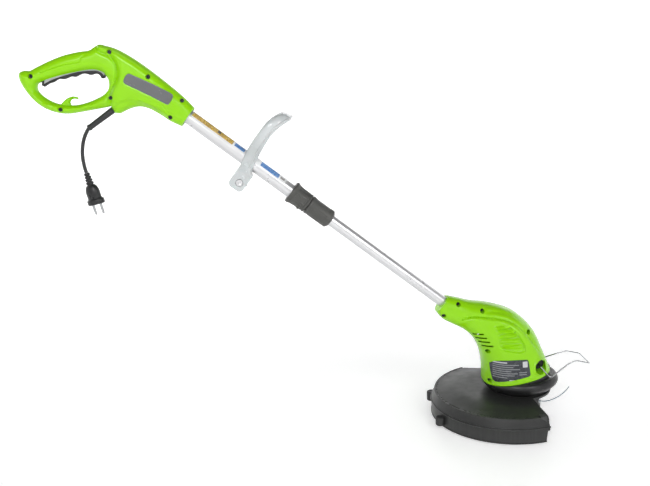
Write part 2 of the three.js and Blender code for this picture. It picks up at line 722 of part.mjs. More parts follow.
function housingCasing() {
  const outer = housingLoft(housingStations, 0);
  const belowBase = [...housingStations.slice(2)];
  const [lowX, lowZ, highX, highZ, depth] = housingStations[housingStations.length - 1];
  belowBase.push([lowX, lowZ - 10, highX, highZ - 10, depth]);
  const inner = housingLoft(belowBase, housingWall);
  const midWall = housingLoft(housingStations, housingWall / 2); // inner ribs end inside the wall
  const { statorLow, statorHigh, topBearing } = motorHeights;
  const shelves = [
    [statorLow - 3.5, statorLow - gap, 20],
    [statorHigh + gap, statorHigh + 3.5, 20],
    [topBearing, topBearing + 8, bearing.outer + gap],
  ].map(([low, high, hole]) => {
    return cut(box([-50, -80, low], [80, 80, high]).intersect(midWall), rod(hole, low - 1, high + 1));
  });
  const bosses = housingScrews.slice(2).map((screw) => boss(screw, 70).intersect(midWall));
  let casing = joined(cut(outer, inner), ...shelves, ...bosses);

  const neckBore = new THREE.CylinderGeometry(lowerTubeRadius + gap, lowerTubeRadius + gap, 90, 24);
  neckBore.rotateZ(Math.PI / 2);
  neckBore.translate(lowerTubeEnds[1] - 39, 0, 0);
  casing = cut(casing, onShaft(neckBore));

  // Four slanted cooling slots on each side, behind the motor.
  for (let i = 0; i < 4; i += 1) {
    const x = -80 + 5.4 * i;
    const z = 171.5 - 7.5 * i;
    const slotSide = [[x - 14, z - 1], [x + 10, z + 2.5], [x + 10, z - 0.5], [x - 14, z - 4]];
    const slot = sideSlab(outline(slotSide), 70, 0);
    casing = cut(casing, cut(slot, box([-200, -18, 0], [200, 18, 300])));
  }
  // The round pockets where the edge guide's ends turn.
  for (const side of [-1, 1]) {
    const { x, z, floor, pocket } = pivotPlace;
    const across = (radius, near, far, sides) => {
      const [low, high] = side > 0 ? [near, far] : [-far, -near];
      return rod(radius, low, high, { axis: "y", at: [x, 0, z], sides });
    };
    const cup = across(pocket + 2, floor - 7, 70, 16).intersect(midWall);
    casing = cut(joined(casing, cup), across(pocket, floor, 80, 16), across(wireRadius + gap, 34, 80, 8));
  }
  return cut(casing, ...housingScrews.map((screw) => screwHole(screw)));
}

function buildHousing(frame) {
  const casing = housingCasing();
  piece(frame, "motor_housing_right", half(casing, "right"), green);
  piece(frame, "motor_housing_left", half(casing, "left"), green);
  housingScrews.forEach((screw, i) => piece(frame, `housing_screw_${i + 1}`, screwSolid(screw), darkSteel));
}

// ---------------------------------------------------------------- motor
function buildMotor(frame) {
  const { statorLow, statorHigh, bracketLow, bracketHigh, topBearing } = motorHeights;
  // The base's rounded rim is centred ahead of the motor's axis.
  const rimCentre = [7, 0, 0];
  const rimProfile = [
    [0, 50], [57, 50], [64, 57], [71.5, 64], [73.5, 69], [72.6, 74.5], [67, motorBaseTop], [0, motorBaseTop],
    [0, 50],
  ];
  // A plain collar stands on the rim as far up as the slanting seam under the housing.
  const collar = rod(65.4, motorBaseTop - 9, seamFront[1] + 5, { sides: 32 });
  const rise = (seamFront[1] - seamRear[1]) / (seamFront[0] - seamRear[0]);
  const seamAt = (x) => [x, seamRear[1] + rise * (x - seamRear[0])];
  const aboveSeam = sideSlab(outline([seamAt(-120), seamAt(120), [120, 200], [-120, 200]]), 100, 0);
  const tray = [ring(14, 57, 60, 71.5), rod(57, 71, seamFront[1] + 6)];
  const bearingSeat = [rod(5.5, 49, 65), rod(8.3, 64, 72)];
  const rim = turned(rimProfile, { at: rimCentre, sides: 28 });
  piece(frame, "motor_base", cut(joined(rim, collar), aboveSeam, ...tray, ...bearingSeat), black);
  const bearingRing = (low) => ring(bearing.inner, bearing.outer, low, low + bearing.height);
  piece(frame, "bearing_lower", bearingRing(64 + gap), steel);
  piece(frame, "bearing_upper", bearingRing(topBearing + 1), steel);

  const stator = ring(17, statorRadius, statorLow, statorHigh, { sides: 28 });
  piece(frame, "stator", stator, darkSteel);
  piece(frame, "armature", ring(bearing.inner, 16.2, statorLow, statorHigh, { sides: 20 }), copper);
  piece(frame, "commutator", ring(bearing.inner, 10, 145, 155, { sides: 20 }), copper);

  // The brush bracket lies above the stator and holds a carbon brush on each side.
  let bracket = ring(12.5, 30, bracketLow, bracketHigh, { sides: 28 });
  for (const [name, side] of [["brush_right", -1], ["brush_left", 1]]) {
    const block = (halfWidth, near, far, low, high) => {
      const ends = [side * near, side * far].sort((a, b) => a - b);
      return box([-halfWidth, ends[0], low], [halfWidth, ends[1], high]);
    };
    piece(frame, name, block(3, 10.3, 25, 146.5, 153.5), carbon);
    bracket = cut(bracket, block(3 + gap, 9, 26, 146.5 - gap, 153.5 + gap));
  }
  piece(frame, "brush_bracket", bracket, black);

  // Cooling fan: a hub and a disc with curved blades standing on it.
  let fan = joined(ring(bearing.inner, 8, 74, 90), ring(7, 34, 74, 76));
  const blades = 8;
  for (let i = 0; i < blades; i += 1) {
    const blade = box([7, -1, 75], [33, 1, 88]);
    const geometry = geometryOf(blade);
    geometry.rotateZ((i * 2 * Math.PI) / blades);
    fan = fan.add(solidOf(geometry));
  }
  piece(frame, "cooling_fan", fan, whitePlastic);

  const shaftProfile = [[0, 19], [3, 19], [3, 27], [motorShaftRadius, 27], [motorShaftRadius, 169], [0, 169]];
  piece(frame, "motor_shaft", turned(shaftProfile, { sides: 16 }), steel);
}

// ---------------------------------------------------------------- spool head
const lineExitAngle = -38; // degrees from +X to the eyelet
const lineHeight = 28.5;
// The nylon line's route in the head's frame, from the wound line through the eyelet to its free end.
const cuttingLineRoute = [
  [30.6, -23.9, lineHeight], [35, -27.3, lineHeight], [39.5, -30.6, lineHeight], [44, -32.6, lineHeight],
  [50, -33.2, 28.6], [58, -31.2, 28.8], [67, -26.8, 29], [76, -20.6, 29.3], [85, -13, 29.6], [94, -4, 30],
  [102, 5, 30.4], [109, 14, 30.8], [115, 23, 31.2],
];

function buildSpoolHead(frame) {
  const wheel = { sides: 22 };
  const housingProfile = [
    [4.3, 27], [8, 27], [8, 41.5], [44.6, 41.5], [44.6, 16], [spoolRadius, 16], [spoolRadius, 42],
    [45.5, 45.2], [4.3, 45.2], [4.3, 27],
  ];
  const turn = THREE.MathUtils.degToRad(lineExitAngle);
  const eyeletHole = new THREE.CylinderGeometry(3.1, 3.1, 12, 12);
  eyeletHole.rotateZ(Math.PI / 2);
  eyeletHole.translate(spoolRadius, 0, lineHeight);
  eyeletHole.rotateZ(turn);
  piece(frame, "spool_housing", cut(turned(housingProfile, wheel), solidOf(eyeletHole)), black);

  const spoolProfile = [
    [8.6, 20], [42, 20], [42, 22.4], [19, 22.4], [19, 33.6], [42, 33.6], [42, 36], [15, 36], [15, 23],
    [8.6, 23], [8.6, 20],
  ];
  piece(frame, "line_spool", turned(spoolProfile, wheel), charcoal);
  piece(frame, "wound_line", ring(19.3, 37.5, 22.7, 33.3, wheel), lineTeal);
  springMesh(frame, "spool_spring", { radius: 11.5, wire: 0.8, height: 16.4, turns: 4, at: [0, 0, 24.2] });

  const coverProfile = [
    [26, 10], [45, 10], [spoolRadius, 12.5], [spoolRadius, 15.7], [44.3, 15.7], [44.3, 19], [42.6, 19],
    [42.6, 13], [26, 13], [26, 10],
  ];
  piece(frame, "spool_cover", turned(coverProfile, wheel), charcoal);
  const knobProfile = [
    [0, 3.5], [15, 3.5], [25.2, 9], [25.2, 13.3], [31, 13.3], [31, 16], [25.2, 16], [25.2, 19.7], [21, 19.7],
    [21, 8], [0, 8],
  ];
  piece(frame, "bump_knob", turned(knobProfile, wheel), black);
  const nut = cut(rod(7, 19.5, 26.7, { sides: 6 }), rod(3 + gap, 19, 27, { sides: 12 }));
  piece(frame, "arbor_nut", nut, steel);
  piece(frame, "cutting_line", bar(cuttingLineRoute, 0.8, { sides: 8, steps: 18 }), lineTeal);
}

// ---------------------------------------------------------------- guard
function buildGuard(frame) {
  const centre = [guardOffset, 0, 0];
  const wall = 3;
  const bevel = 6; // how far the top edge steps in
  const plateLow = guardPlateTop - 3.5;
  const skirtTop = 28;
  const skirtProfile = [
    [guardRadius - wall, 0], [guardRadius, 0], [guardRadius, skirtTop], [guardRadius - bevel, guardPlateTop],
    [30, guardPlateTop], [30, plateLow], [guardRadius - bevel - wall, plateLow],
    [guardRadius - wall, skirtTop - 1], [guardRadius - wall, 0],
  ];
  const bowl = turned(skirtProfile, { at: centre, sides: 56 });
  // The sector that the guard covers: a near cut beside the hub and a far cut behind it. Over the blade
  // the plate and its bevel reach a little past the skirt's end.
  const farSide = [[-220, -200], [-220, 190], [-116, 139], [-40, 107], [20, 82], [20, 40]];
  const nearCut = [[13.5, -50], [15.5, -72], [17.7, -93], [22.5, -122], [24.5, -150], [24.5, -200]];
  const skirtSector = planSlab(outline([[13.5, -50], [18, -95], [18, -200], ...farSide]), -5, 29.5);
  const plateSector = planSlab(outline([...nearCut, ...farSide]), 29, 60);
  const sector = joined(skirtSector, plateSector);
  const hub = rod(66, plateLow, guardPlateTop, { sides: 32 });
  const lugs = [156, 201].map((degrees) => {
    const angle = THREE.MathUtils.degToRad(degrees);
    const reach = guardRadius + 5;
    const at = [guardOffset + reach * Math.cos(angle), reach * Math.sin(angle), 0];
    return rod(8.8, 4.5, 20.5, { at, sides: 16 });
  });
  const hollow = rod(guardRadius - wall, -5, skirtTop - 1, { at: centre, sides: 56 });
  let guard = joined(bowl.intersect(sector), hub, ...lugs);
  guard = cut(guard, hollow, rod(24, 0, 60));
  // The blade's seat is a block inside the skirt's near end.
  const seat = box([8, -139, 20], [18.4, -127, plateLow + 1]);
  const bladeScrewHole = rod(2.3, 6, 40, { axis: "x", at: [0, -133, 30], sides: 12 });
  guard = cut(joined(guard, seat), bladeScrewHole);
  piece(frame, "guard", guard, charcoal);

  const bladeShape = outline([
    [-137, 17], [-121, 17], [-117, 26], [-117, 34], [-121, 42], [-130, 42], [-137, 33],
  ]);
  const blade = slab(bladeShape, 0.8);
  blade.rotateX(Math.PI / 2);
  blade.rotateZ(Math.PI / 2);
  blade.translate(18.4 + gap + 0.8, 0, 0);
  const bladeHole = rod(2.3, 0, 40, { axis: "x", at: [0, -133, 30], sides: 12 });
  piece(frame, "cutter_blade", cut(solidOf(blade), bladeHole), steel);
  const bladeFace = 18.4 + 2 * gap + 1.6;
  const headTop = bladeFace + 2.4;
  const screwProfile = [[0, 9], [2, 9], [2, bladeFace], [3.6, bladeFace], [3.6, headTop], [0, headTop]];
  piece(frame, "blade_screw", turned(screwProfile, { axis: "x", at: [0, -133, 30], sides: 12 }), steel);
}

// ---------------------------------------------------------------- edge guide
// One bent wire. Each end turns in a pocket on the housing's side, and the wire reaches forward.
function buildEdgeGuide(frame) {
  const { x, z } = pivotPlace;
  const near = [
    [x, -35.5, z], [x, -45.5, z], [x + 0.9, -48, z - 1.2], [x + 3, -49, z - 4], [x + 15, -48.6, z - 19.2],
    [x + 18, -47.8, z - 21.4], [x + 21, -46.6, z - 22], [x + 25, -44.9, z - 20.8], [x + 56, -31.5, z - 6.2],
    [x + 71, -28, z - 1.2], [x + 74.5, -27.2, z - 0.6], [x + 78, -27, z - 0.8], [x + 97, -27, z - 5.8],
    [x + 100, -26, z - 6.6], [x + 101, -23.5, z - 6.8],
  ];
  const far = near.map(([px, py, pz]) => [px, -py, pz]).reverse();
  piece(frame, "edge_guide", bentWire([...near, ...far], wireRadius, 6), steel);
}

// ---------------------------------------------------------------- assembly
// Where the handle's mouth lies, so that the grip's middle is at the origin.
function shaftOrigin() {
  const grip = new THREE.Vector3(gripCentre[0], 0, gripCentre[1]);
  grip.applyAxisAngle(new THREE.Vector3(0, 1, 0), THREE.MathUtils.degToRad(shaftTilt));
  return grip.negate();
}

const group = new THREE.Group();
const shaftFrame = new THREE.Group();
shaftFrame.position.copy(shaftOrigin());
shaftFrame.rotation.y = THREE.MathUtils.degToRad(shaftTilt);
const headFrame = new THREE.Group();
headFrame.position.set(...headPlace);
group.add(shaftFrame, headFrame);

buildHandle(shaftFrame);
buildLead(group);
buildShaft(shaftFrame);
buildAssistHandle(shaftFrame);
buildHousing(headFrame);
buildMotor(headFrame);
buildSpoolHead(headFrame);
buildGuard(headFrame);
buildEdgeGuide(headFrame);

export default group;
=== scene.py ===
# Looks for the corded string trimmer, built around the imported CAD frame.
import json
import math

import bmesh
import bpy
import numpy as np
from mathutils import Matrix, Vector
from mathutils.geometry import delaunay_2d_cdt


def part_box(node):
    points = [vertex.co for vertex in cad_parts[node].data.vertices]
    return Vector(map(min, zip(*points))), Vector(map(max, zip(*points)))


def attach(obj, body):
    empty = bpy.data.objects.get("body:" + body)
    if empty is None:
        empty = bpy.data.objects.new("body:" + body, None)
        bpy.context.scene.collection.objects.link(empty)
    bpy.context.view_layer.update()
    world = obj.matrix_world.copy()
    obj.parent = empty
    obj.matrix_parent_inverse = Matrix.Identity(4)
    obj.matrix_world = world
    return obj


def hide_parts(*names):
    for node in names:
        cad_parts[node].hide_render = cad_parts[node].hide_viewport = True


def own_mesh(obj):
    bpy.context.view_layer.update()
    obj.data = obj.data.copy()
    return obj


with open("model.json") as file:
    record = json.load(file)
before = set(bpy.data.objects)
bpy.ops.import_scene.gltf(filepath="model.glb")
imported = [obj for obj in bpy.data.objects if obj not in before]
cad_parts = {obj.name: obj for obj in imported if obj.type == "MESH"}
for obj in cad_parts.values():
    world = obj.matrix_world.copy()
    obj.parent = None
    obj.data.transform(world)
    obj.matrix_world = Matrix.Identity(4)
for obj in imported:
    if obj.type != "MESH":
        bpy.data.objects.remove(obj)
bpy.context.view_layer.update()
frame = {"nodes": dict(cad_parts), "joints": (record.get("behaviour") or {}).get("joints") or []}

MM = 0.001

# ---------------------------------------------------------------- frames taken from the CAD
joints = {j["name"]: j for j in frame["joints"]}
slide = Vector(joints["shaft_slide"]["axis"])
tilt = math.atan2(-slide.z, slide.x)
trigger_pivot = Vector(joints["trigger_pull"]["pos_m"])
spin_axis = Vector(joints["rotor_spin"]["pos_m"])
guard_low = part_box("guard")[0]


def spun(degrees, axis):
    return Matrix.Rotation(math.radians(degrees), 4, axis)


PART = Matrix.Scale(MM, 4)
TRIGGER_STUB = (-264, -89)  # the trigger's hinge, along the shaft and above its axis
# Along the shaft from the handle's mouth, across, and above the shaft's axis, in millimetres.
SHAFT = (
    Matrix.Translation(trigger_pivot)
    @ Matrix.Rotation(tilt, 4, "Y")
    @ Matrix.Translation((-TRIGGER_STUB[0] * MM, 0, -TRIGGER_STUB[1] * MM))
    @ PART
)
# Upright, from the foot of the spool's axis, in millimetres.
HEAD = Matrix.Translation((spin_axis.x, 0, guard_low.z)) @ PART
ALONG_X, ALONG_Y = spun(90, "Y"), spun(-90, "X")
GAP = 0.15  # half the seam between the shells

# ---------------------------------------------------------------- camera
CAMERA_PLACE = (0.408, -1.401, -0.045)
CAMERA_AZIMUTH = -1.52
CAMERA_ELEVATION = 12.03
CAMERA_ROLL = -3.0
CAMERA_LENS = 42.55


def add_object(name, data, place=None):
    """A new object in the scene."""
    item = bpy.data.objects.new(name, data)
    if place is not None:
        item.matrix_world = place
    bpy.context.scene.collection.objects.link(item)
    return item


def set_camera():
    azimuth = math.radians(CAMERA_AZIMUTH)
    elevation = math.radians(CAMERA_ELEVATION)
    flat = math.cos(elevation)
    ahead = Vector((-math.sin(azimuth) * flat, math.cos(azimuth) * flat, -math.sin(elevation)))
    level = Vector((math.cos(azimuth), math.sin(azimuth), 0))
    above = level.cross(ahead)
    basis = Matrix((level, above, -ahead)).transposed() @ Matrix.Rotation(math.radians(CAMERA_ROLL), 3, "Z")
    data = bpy.data.cameras.new("camera")
    data.lens = CAMERA_LENS
    data.sensor_width = 36
    place = Matrix.Translation(CAMERA_PLACE) @ basis.to_4x4()
    bpy.context.scene.camera = add_object("camera", data, place)


# ---------------------------------------------------------------- materials
def new_look(name):
    look = bpy.data.materials.new(name)
    look.use_nodes = True
    tree = look.node_tree
    return look, tree, tree.nodes["Principled BSDF"]


def linked(tree, kind, inputs=None, **settings):
    """A new node with its settings, and its inputs set to values or linked to sockets."""
    node = tree.nodes.new(kind)
    for key, value in settings.items():
        setattr(node, key, value)
    for key, value in (inputs or {}).items():
        if isinstance(value, bpy.types.NodeSocket):
            tree.links.new(value, node.inputs[key])
        else:
            node.inputs[key].default_value = value
    return node


def noise(tree, scale, detail=2.0, stretch=(1, 1, 1)):
    place = linked(tree, "ShaderNodeTexCoord").outputs["Object"]
    scaled = linked(tree, "ShaderNodeMapping", {"Vector": place, "Scale": stretch}).outputs["Vector"]
    return linked(tree, "ShaderNodeTexNoise", {"Vector": scaled, "Scale": scale, "Detail": detail}).outputs[
        "Fac"]


def ranged(tree, value, low, high, start=0.3, end=0.7):
    inputs = {"Value": value, "From Min": start, "From Max": end, "To Min": low, "To Max": high}
    return linked(tree, "ShaderNodeMapRange", inputs).outputs["Result"]


def mixed(tree, factor, first, second):
    node = linked(tree, "ShaderNodeMix", data_type="RGBA")
    for index, value in ((0, factor), (6, first), (7, second)):
        if isinstance(value, bpy.types.NodeSocket):
            tree.links.new(value, node.inputs[index])
        else:
            node.inputs[index].default_value = value
    return node.outputs[2]


def calculated(tree, operation, *values):
    return linked(tree, "ShaderNodeMath", dict(enumerate(values)), operation=operation).outputs[0]


def between(tree, value, low, high):
    """One where a value lies between two bounds, and nought elsewhere."""
    above, below = calculated(tree, "GREATER_THAN", value, low), calculated(tree, "LESS_THAN", value, high)
    return calculated(tree, "MULTIPLY", above, below)


def printed(tree, place, color, patches):
    """A colour with patches printed on it, each (left, right, low, high, ink) in UV measures."""
    for left, right, low, high, ink in patches:
        patch = calculated(tree, "MULTIPLY", between(tree, place["X"], left, right),
            between(tree, place["Y"], low, high))
        color = mixed(tree, patch, color, ink)
    return color


def film_look(name):
    """A new material, and its UV place split into X along and Y up."""
    look, tree, shader = new_look(name)
    place = linked(tree, "ShaderNodeTexCoord").outputs["UV"]
    return look, tree, shader, linked(tree, "ShaderNodeSeparateXYZ", {"Vector": place}).outputs


def shade(color, factor):
    return (*(min(c * factor, 1) for c in color), 1)


def moulded(name, color, roughness, grain=0.12, grain_scale=1400, worn=1.25, spread=0.1, metallic=0.0,
    stretch=(1, 1, 1), uneven=0.2, sunk=0.62, **values):
    """Moulded or worked material: cloudy colour, edges lightened as wear and as painted highlight, creases
    darkened as painted shade, uneven gloss, a fine grain.
    """
    look, tree, shader = new_look(name)
    cloud = noise(tree, 14, 4)
    base = mixed(tree, ranged(tree, cloud, 0, 1), shade(color, 1 - spread), shade(color, 1 + spread))
    edges = linked(tree, "ShaderNodeNewGeometry").outputs["Pointiness"]
    # Sharp edges are lightened by the worn factor: partly edge wear, partly painted highlight.
    edge_wear_and_highlight = ranged(tree, edges, 0, 0.55, 0.53, 0.62)
    color_out = mixed(tree, edge_wear_and_highlight, base, shade(color, worn))
    # Creases are darkened by the sunk factor: painted shade.
    painted_crease_shade = ranged(tree, edges, 1, 0, 0.36, 0.485)
    color_out = mixed(tree, painted_crease_shade, color_out, shade(color, sunk))
    tree.links.new(color_out, shader.inputs["Base Color"])
    gloss = ranged(tree, noise(tree, 60, 5, stretch), roughness * (1 - uneven), roughness * (1 + uneven))
    tree.links.new(gloss, shader.inputs["Roughness"])
    fine = noise(tree, grain_scale, 3, stretch)
    bump = linked(tree, "ShaderNodeBump", {"Height": fine, "Strength": grain, "Distance": 0.0003})
    tree.links.new(bump.outputs["Normal"], shader.inputs["Normal"])
    shader.inputs["Metallic"].default_value = metallic
    for key, value in values.items():
        shader.inputs[key.replace("_", " ")].default_value = value
    return look


GREEN = (0.25, 0.605, 0.002)
# In each look, the factor after the grain scale lightens sharp edges as wear and as painted highlight, and
# sunk darkens creases as painted shade.
looks = {"green": moulded("green_moulding", GREEN, 0.25, 0.02, 1800, 1.2, 0.02, uneven=0.06, sunk=0.3,
        Specular_IOR_Level=0.32), "charcoal": moulded("charcoal_moulding", (0.026, 0.0265, 0.026), 0.36,
        0.06, 1500, 2.6, 0.04, Specular_IOR_Level=0.28),
    "black": moulded("black_moulding", (0.017, 0.0172, 0.0178), 0.34, 0.1, 1500, 2.2, 0.1,
        Specular_IOR_Level=0.35), "collar": moulded("collar_moulding", (0.068, 0.068, 0.063), 0.45, 0.2,
        1300, 1.5, 0.06, sunk=0.4, Specular_IOR_Level=0.35),
    "rubber": moulded("rubber_sheath", (0.016, 0.017, 0.018), 0.38, 0.12, 1100, 1.8, 0.1),
    "badge": moulded("badge_film", (0.115, 0.12, 0.125), 0.24, 0.03, 900, 1.5, 0.03),
    # A pale grey used as painted highlight on the trigger's flanks.
    "painted_flank_highlight": moulded("painted_flank_highlight", (0.3, 0.31, 0.31), 0.3, 0.06, 1200, 1.3, 0.1),
    "aluminium": moulded("satin_aluminium", (0.64, 0.64, 0.65), 0.28, 0.015, 900, 1.05, 0.01, 0.7,
        uneven=0.03), "steel": moulded("zinc_steel", (0.42, 0.43, 0.44), 0.24, 0.08, 700, 1.1, 0.08, 1.0),
    "dark_steel": moulded("blackened_steel", (0.045, 0.047, 0.05), 0.38, 0.1, 900, 2.0, 0.2, 0.8),
    "laminations": moulded("stacked_laminations", (0.2, 0.2, 0.21), 0.4, 0.5, 60, 1.3, 0.2, 0.9,
        (0.02, 0.02, 30)), "copper": moulded("copper_windings", (0.6, 0.21, 0.07), 0.3, 0.5, 120, 1.2, 0.2,
        1.0, (6, 6, 0.6)), "carbon": moulded("pressed_carbon", (0.02, 0.02, 0.022), 0.7, 0.5, 1500, 1.5,
        0.3), "nylon": moulded("plain_nylon", (0.72, 0.71, 0.64), 0.45, 0.08, 900, 1.05, 0.05,
        Subsurface_Weight=0.1), "line": moulded("teal_line", (0.01, 0.08, 0.13), 0.3, 0.1, 900, 1.3, 0.15),
    "frosted": moulded("frosted_moulding", (0.59, 0.62, 0.625), 0.24, 0.04, 500, 1.12, 0.06,
        Subsurface_Weight=0.35, Subsurface_Radius=(0.6, 0.8, 0.8), Subsurface_Scale=0.006,
        Transmission_Weight=0.12)}


def sticker_look():
    """Printed film on the tube: a yellow run with dark bars, a plain gap, a blue run, then white."""
    look, tree, shader, place = film_look("tube_film")
    white = (0.72, 0.73, 0.74, 1)
    ink = ranged(tree, noise(tree, 520, 2), 0, 1, 0.5, 0.56)
    yellow = mixed(tree, ink, (0.62, 0.42, 0.05, 1), (0.3, 0.17, 0.01, 1))
    blue = mixed(tree, ink, (0.015, 0.13, 0.42, 1), (0.1, 0.3, 0.6, 1))
    color = printed(tree, place, white, [(-1, 0.427, 0.05, 0.4, yellow)])
    waves = calculated(tree, "SINE", calculated(tree, "MULTIPLY", place["X"], 46.0))
    run = calculated(tree, "MULTIPLY", between(tree, place["X"], -1, 0.42),
        between(tree, place["Y"], 0.12, 0.34))
    bars = calculated(tree, "MULTIPLY", between(tree, waves, 0.75, 2), run)
    color = mixed(tree, bars, color, (0.42, 0.27, 0.02, 1))
    color = printed(tree, place, color, [
        (0.262, 0.292, 0.14, 0.36, (0.03, 0.03, 0.035, 1)),
        (0.445, 0.55, 0.1, 0.36, blue),
        (0.73, 0.925, 0.05, 0.4, blue),
        (0.94, 0.985, 0.12, 0.3, (0.3, 0.29, 0.28, 1)),
    ])
    worn = mixed(tree, ranged(tree, noise(tree, 300, 3), 0, 0.25), color, (0.6, 0.6, 0.58, 1))
    tree.links.new(worn, shader.inputs["Base Color"])
    tree.links.new(ranged(tree, noise(tree, 80, 3), 0.22, 0.34), shader.inputs["Roughness"])
    return look


def label_look():
    """A dark rating plate: pale rules, a pale block and a pale strip, and no lettering."""
    look, tree, shader, place = film_look("rating_film")
    color = mixed(tree, ranged(tree, noise(tree, 40, 3), 0, 1), (0.02, 0.024, 0.03, 1),
        (0.03, 0.034, 0.042, 1))
    pale, faint = (0.5, 0.51, 0.52, 1), (0.22, 0.23, 0.24, 1)
    rules = ((0.07, 0.7, 0.77), (0.07, 0.55, 0.68), (0.07, 0.72, 0.59), (0.07, 0.5, 0.5),
        (0.07, 0.66, 0.41), (0.07, 0.58, 0.32), (0.07, 0.4, 0.22), (0.7, 0.9, 0.45), (0.7, 0.9, 0.36))
    color = printed(tree, place, color, [
        (0.07, 0.4, 0.86, 0.91, pale),
        *[(left, right, height, height + 0.035, faint) for left, right, height in rules],
        (0.8, 0.93, 0.68, 0.92, pale),
        (0.45, 0.9, 0.07, 0.15, pale),
    ])
    tree.links.new(color, shader.inputs["Base Color"])
    tree.links.new(ranged(tree, noise(tree, 120, 3), 0.2, 0.32), shader.inputs["Roughness"])
    return look


looks["sticker"] = sticker_look()
looks["label"] = label_look()


# ---------------------------------------------------------------- mesh tools
class Body:
    """Vertices and faces in millimetres, gathered into one piece."""

    def __init__(self):
        self.verts = []
        self.faces = []

    def add(self, verts, faces, place=None):
        start = len(self.verts)
        if place is None:
            self.verts.extend(Vector(v) for v in verts)
        else:
            self.verts.extend(place @ Vector(v) for v in verts)
        self.faces.extend([i + start for i in face] for face in faces)
        return self


def placed_mesh(name, shape, place, merge=False, clean=True):
    """The mesh of a body, or of a pair of vertices and faces, with its faces turned outwards."""
    body = shape if isinstance(shape, Body) else Body().add(*shape)
    mesh = bpy.data.meshes.new(name)
    mesh.from_pydata([place @ v for v in body.verts], [], body.faces)
    cleaner = bmesh.new()
    cleaner.from_mesh(mesh)
    if merge:
        bmesh.ops.remove_doubles(cleaner, verts=cleaner.verts, dist=2e-6)
    if clean:
        bmesh.ops.dissolve_degenerate(cleaner, edges=cleaner.edges, dist=1e-7)
    bmesh.ops.recalc_face_normals(cleaner, faces=cleaner.faces)
    cleaner.to_mesh(mesh)
    cleaner.free()
    return mesh


def finish_shading(piece, sharp):
    piece.data.shade_smooth()
    piece.data.set_sharp_from_angle(angle=math.radians(sharp))


def make(name, shape, look, rides, place, replaces=(), sharp=32, merge=True):
    """A finished piece: placed, cleaned, smooth apart from its sharp edges."""
    piece = add_object(name, placed_mesh(name, shape, place, merge))
    piece.data.materials.append(looks[look])
    finish_shading(piece, sharp)
    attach(piece, rides)
    if replaces:
        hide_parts(*replaces)
    return piece


def carve(piece, shape, place, sharp=32, operation="DIFFERENCE"):
    """Cuts a closed shape out of a piece, or joins it on."""
    cutter = add_object("cutter", placed_mesh("cutter", shape, place, clean=False))
    step = piece.modifiers.new("cut", "BOOLEAN")
    step.operation = operation
    step.solver = "EXACT"
    step.object = cutter
    bpy.context.view_layer.update()
    depsgraph = bpy.context.evaluated_depsgraph_get()
    whole = bpy.data.meshes.new_from_object(piece.evaluated_get(depsgraph))
    piece.modifiers.clear()
    piece.data = whole
    bpy.data.objects.remove(cutter)
    finish_shading(piece, sharp)


def curve_through(points, spacing, closed=False):
    """Points about a spacing apart on a smooth curve through the given ones."""
    points = np.asarray(points, float)
    count = len(points)
    result = []
    for i in range(count if closed else count - 1):
        if closed:
            a, b, c, d = (points[(i + k - 1) % count] for k in range(4))
        else:
            a, b, c, d = points[max(i - 1, 0)], points[i], points[i + 1], points[min(i + 2, count - 1)]
        steps = max(1, round(float(np.linalg.norm(c - b)) / spacing))
        t = (np.arange(steps) / steps)[:, None]
        cubic = 2 * b + (c - a) * t + (2 * a - 5 * b + 4 * c - d) * t**2 + (3 * b - a - 3 * c + d) * t**3
        result.append(cubic / 2)
    if not closed:
        result.append(points[-1:])
    return np.vstack(result)


def outline(entries, spacing, closed=True):
    """An outline from corners and from lists of points that a smooth curve runs through."""
    loop = [np.array(entries[0], float)]
    for entry in entries[1:] + ([entries[0]] if closed else []):
        stops = entry if isinstance(entry[0], (list, tuple)) else [entry]
        loop.extend(curve_through([loop[-1], *stops], spacing)[1:])
    return np.array(loop[:-1] if closed else loop)


def circle(centre, radius, count):
    angles = 2 * np.pi * np.arange(count) / count
    return np.stack([centre[0] + radius * np.cos(angles), centre[1] + radius * np.sin(angles)], 1)


def distance(points, loop, closed=True):
    """Distance from each point to an outline."""
    start = loop if closed else loop[:-1]
    along = (np.roll(loop, -1, axis=0) if closed else loop[1:]) - start
    length = np.maximum((along**2).sum(1), 1e-12)
    best = np.empty(len(points))
    for low in range(0, len(points), 1500):
        offset = points[low:low + 1500, None, :] - start
        t = np.clip((offset * along).sum(2) / length, 0, 1)
        best[low:low + 1500] = np.sqrt(((offset - t[..., None] * along) ** 2).sum(2)).min(1)
    return best


def inside(points, loop):
    """Which points an outline holds."""
    x, y = points[:, 0], points[:, 1]
    held = np.zeros(len(points), bool)
    for (x1, y1), (x2, y2) in zip(loop, np.roll(loop, -1, axis=0)):
        if y1 == y2:
            continue
        crosses = (y1 > y) != (y2 > y)
        held ^= crosses & (x < (x2 - x1) * (y - y1) / (y2 - y1) + x1)
    return held


def rounded(reach, radius, power=2.0):
    """Height from 0 at an edge to 1 at a radius in from it, round like a quarter circle."""
    t = np.clip(1 - reach / radius, 0, 1)
    return (1 - t**power) ** (1 / power)


def eased(value, low, high):
    t = np.clip((value - low) / (high - low), 0, 1)
    return t * t * (3 - 2 * t)


def bored(flat, start, heading, radius):
    """Half the width of a round hole at each point of a side view, and how far along it the point is."""
    offset = flat - start
    aside = offset @ np.array([heading[1], -heading[0]])
    return np.sqrt(np.clip(radius**2 - aside**2, 0, None)), offset @ heading


def ridge(reach, width):
    """Height of a smooth ridge: 1 along its middle, falling away on both sides."""
    return np.exp(-((reach / width) ** 2))


def angles_of(sides):
    return [2 * math.pi * i / sides for i in range(sides)]


RINGS = (0.06, 0.25, 0.6, 1.1, 1.8, 2.8, 4.2, 6, 8.5)


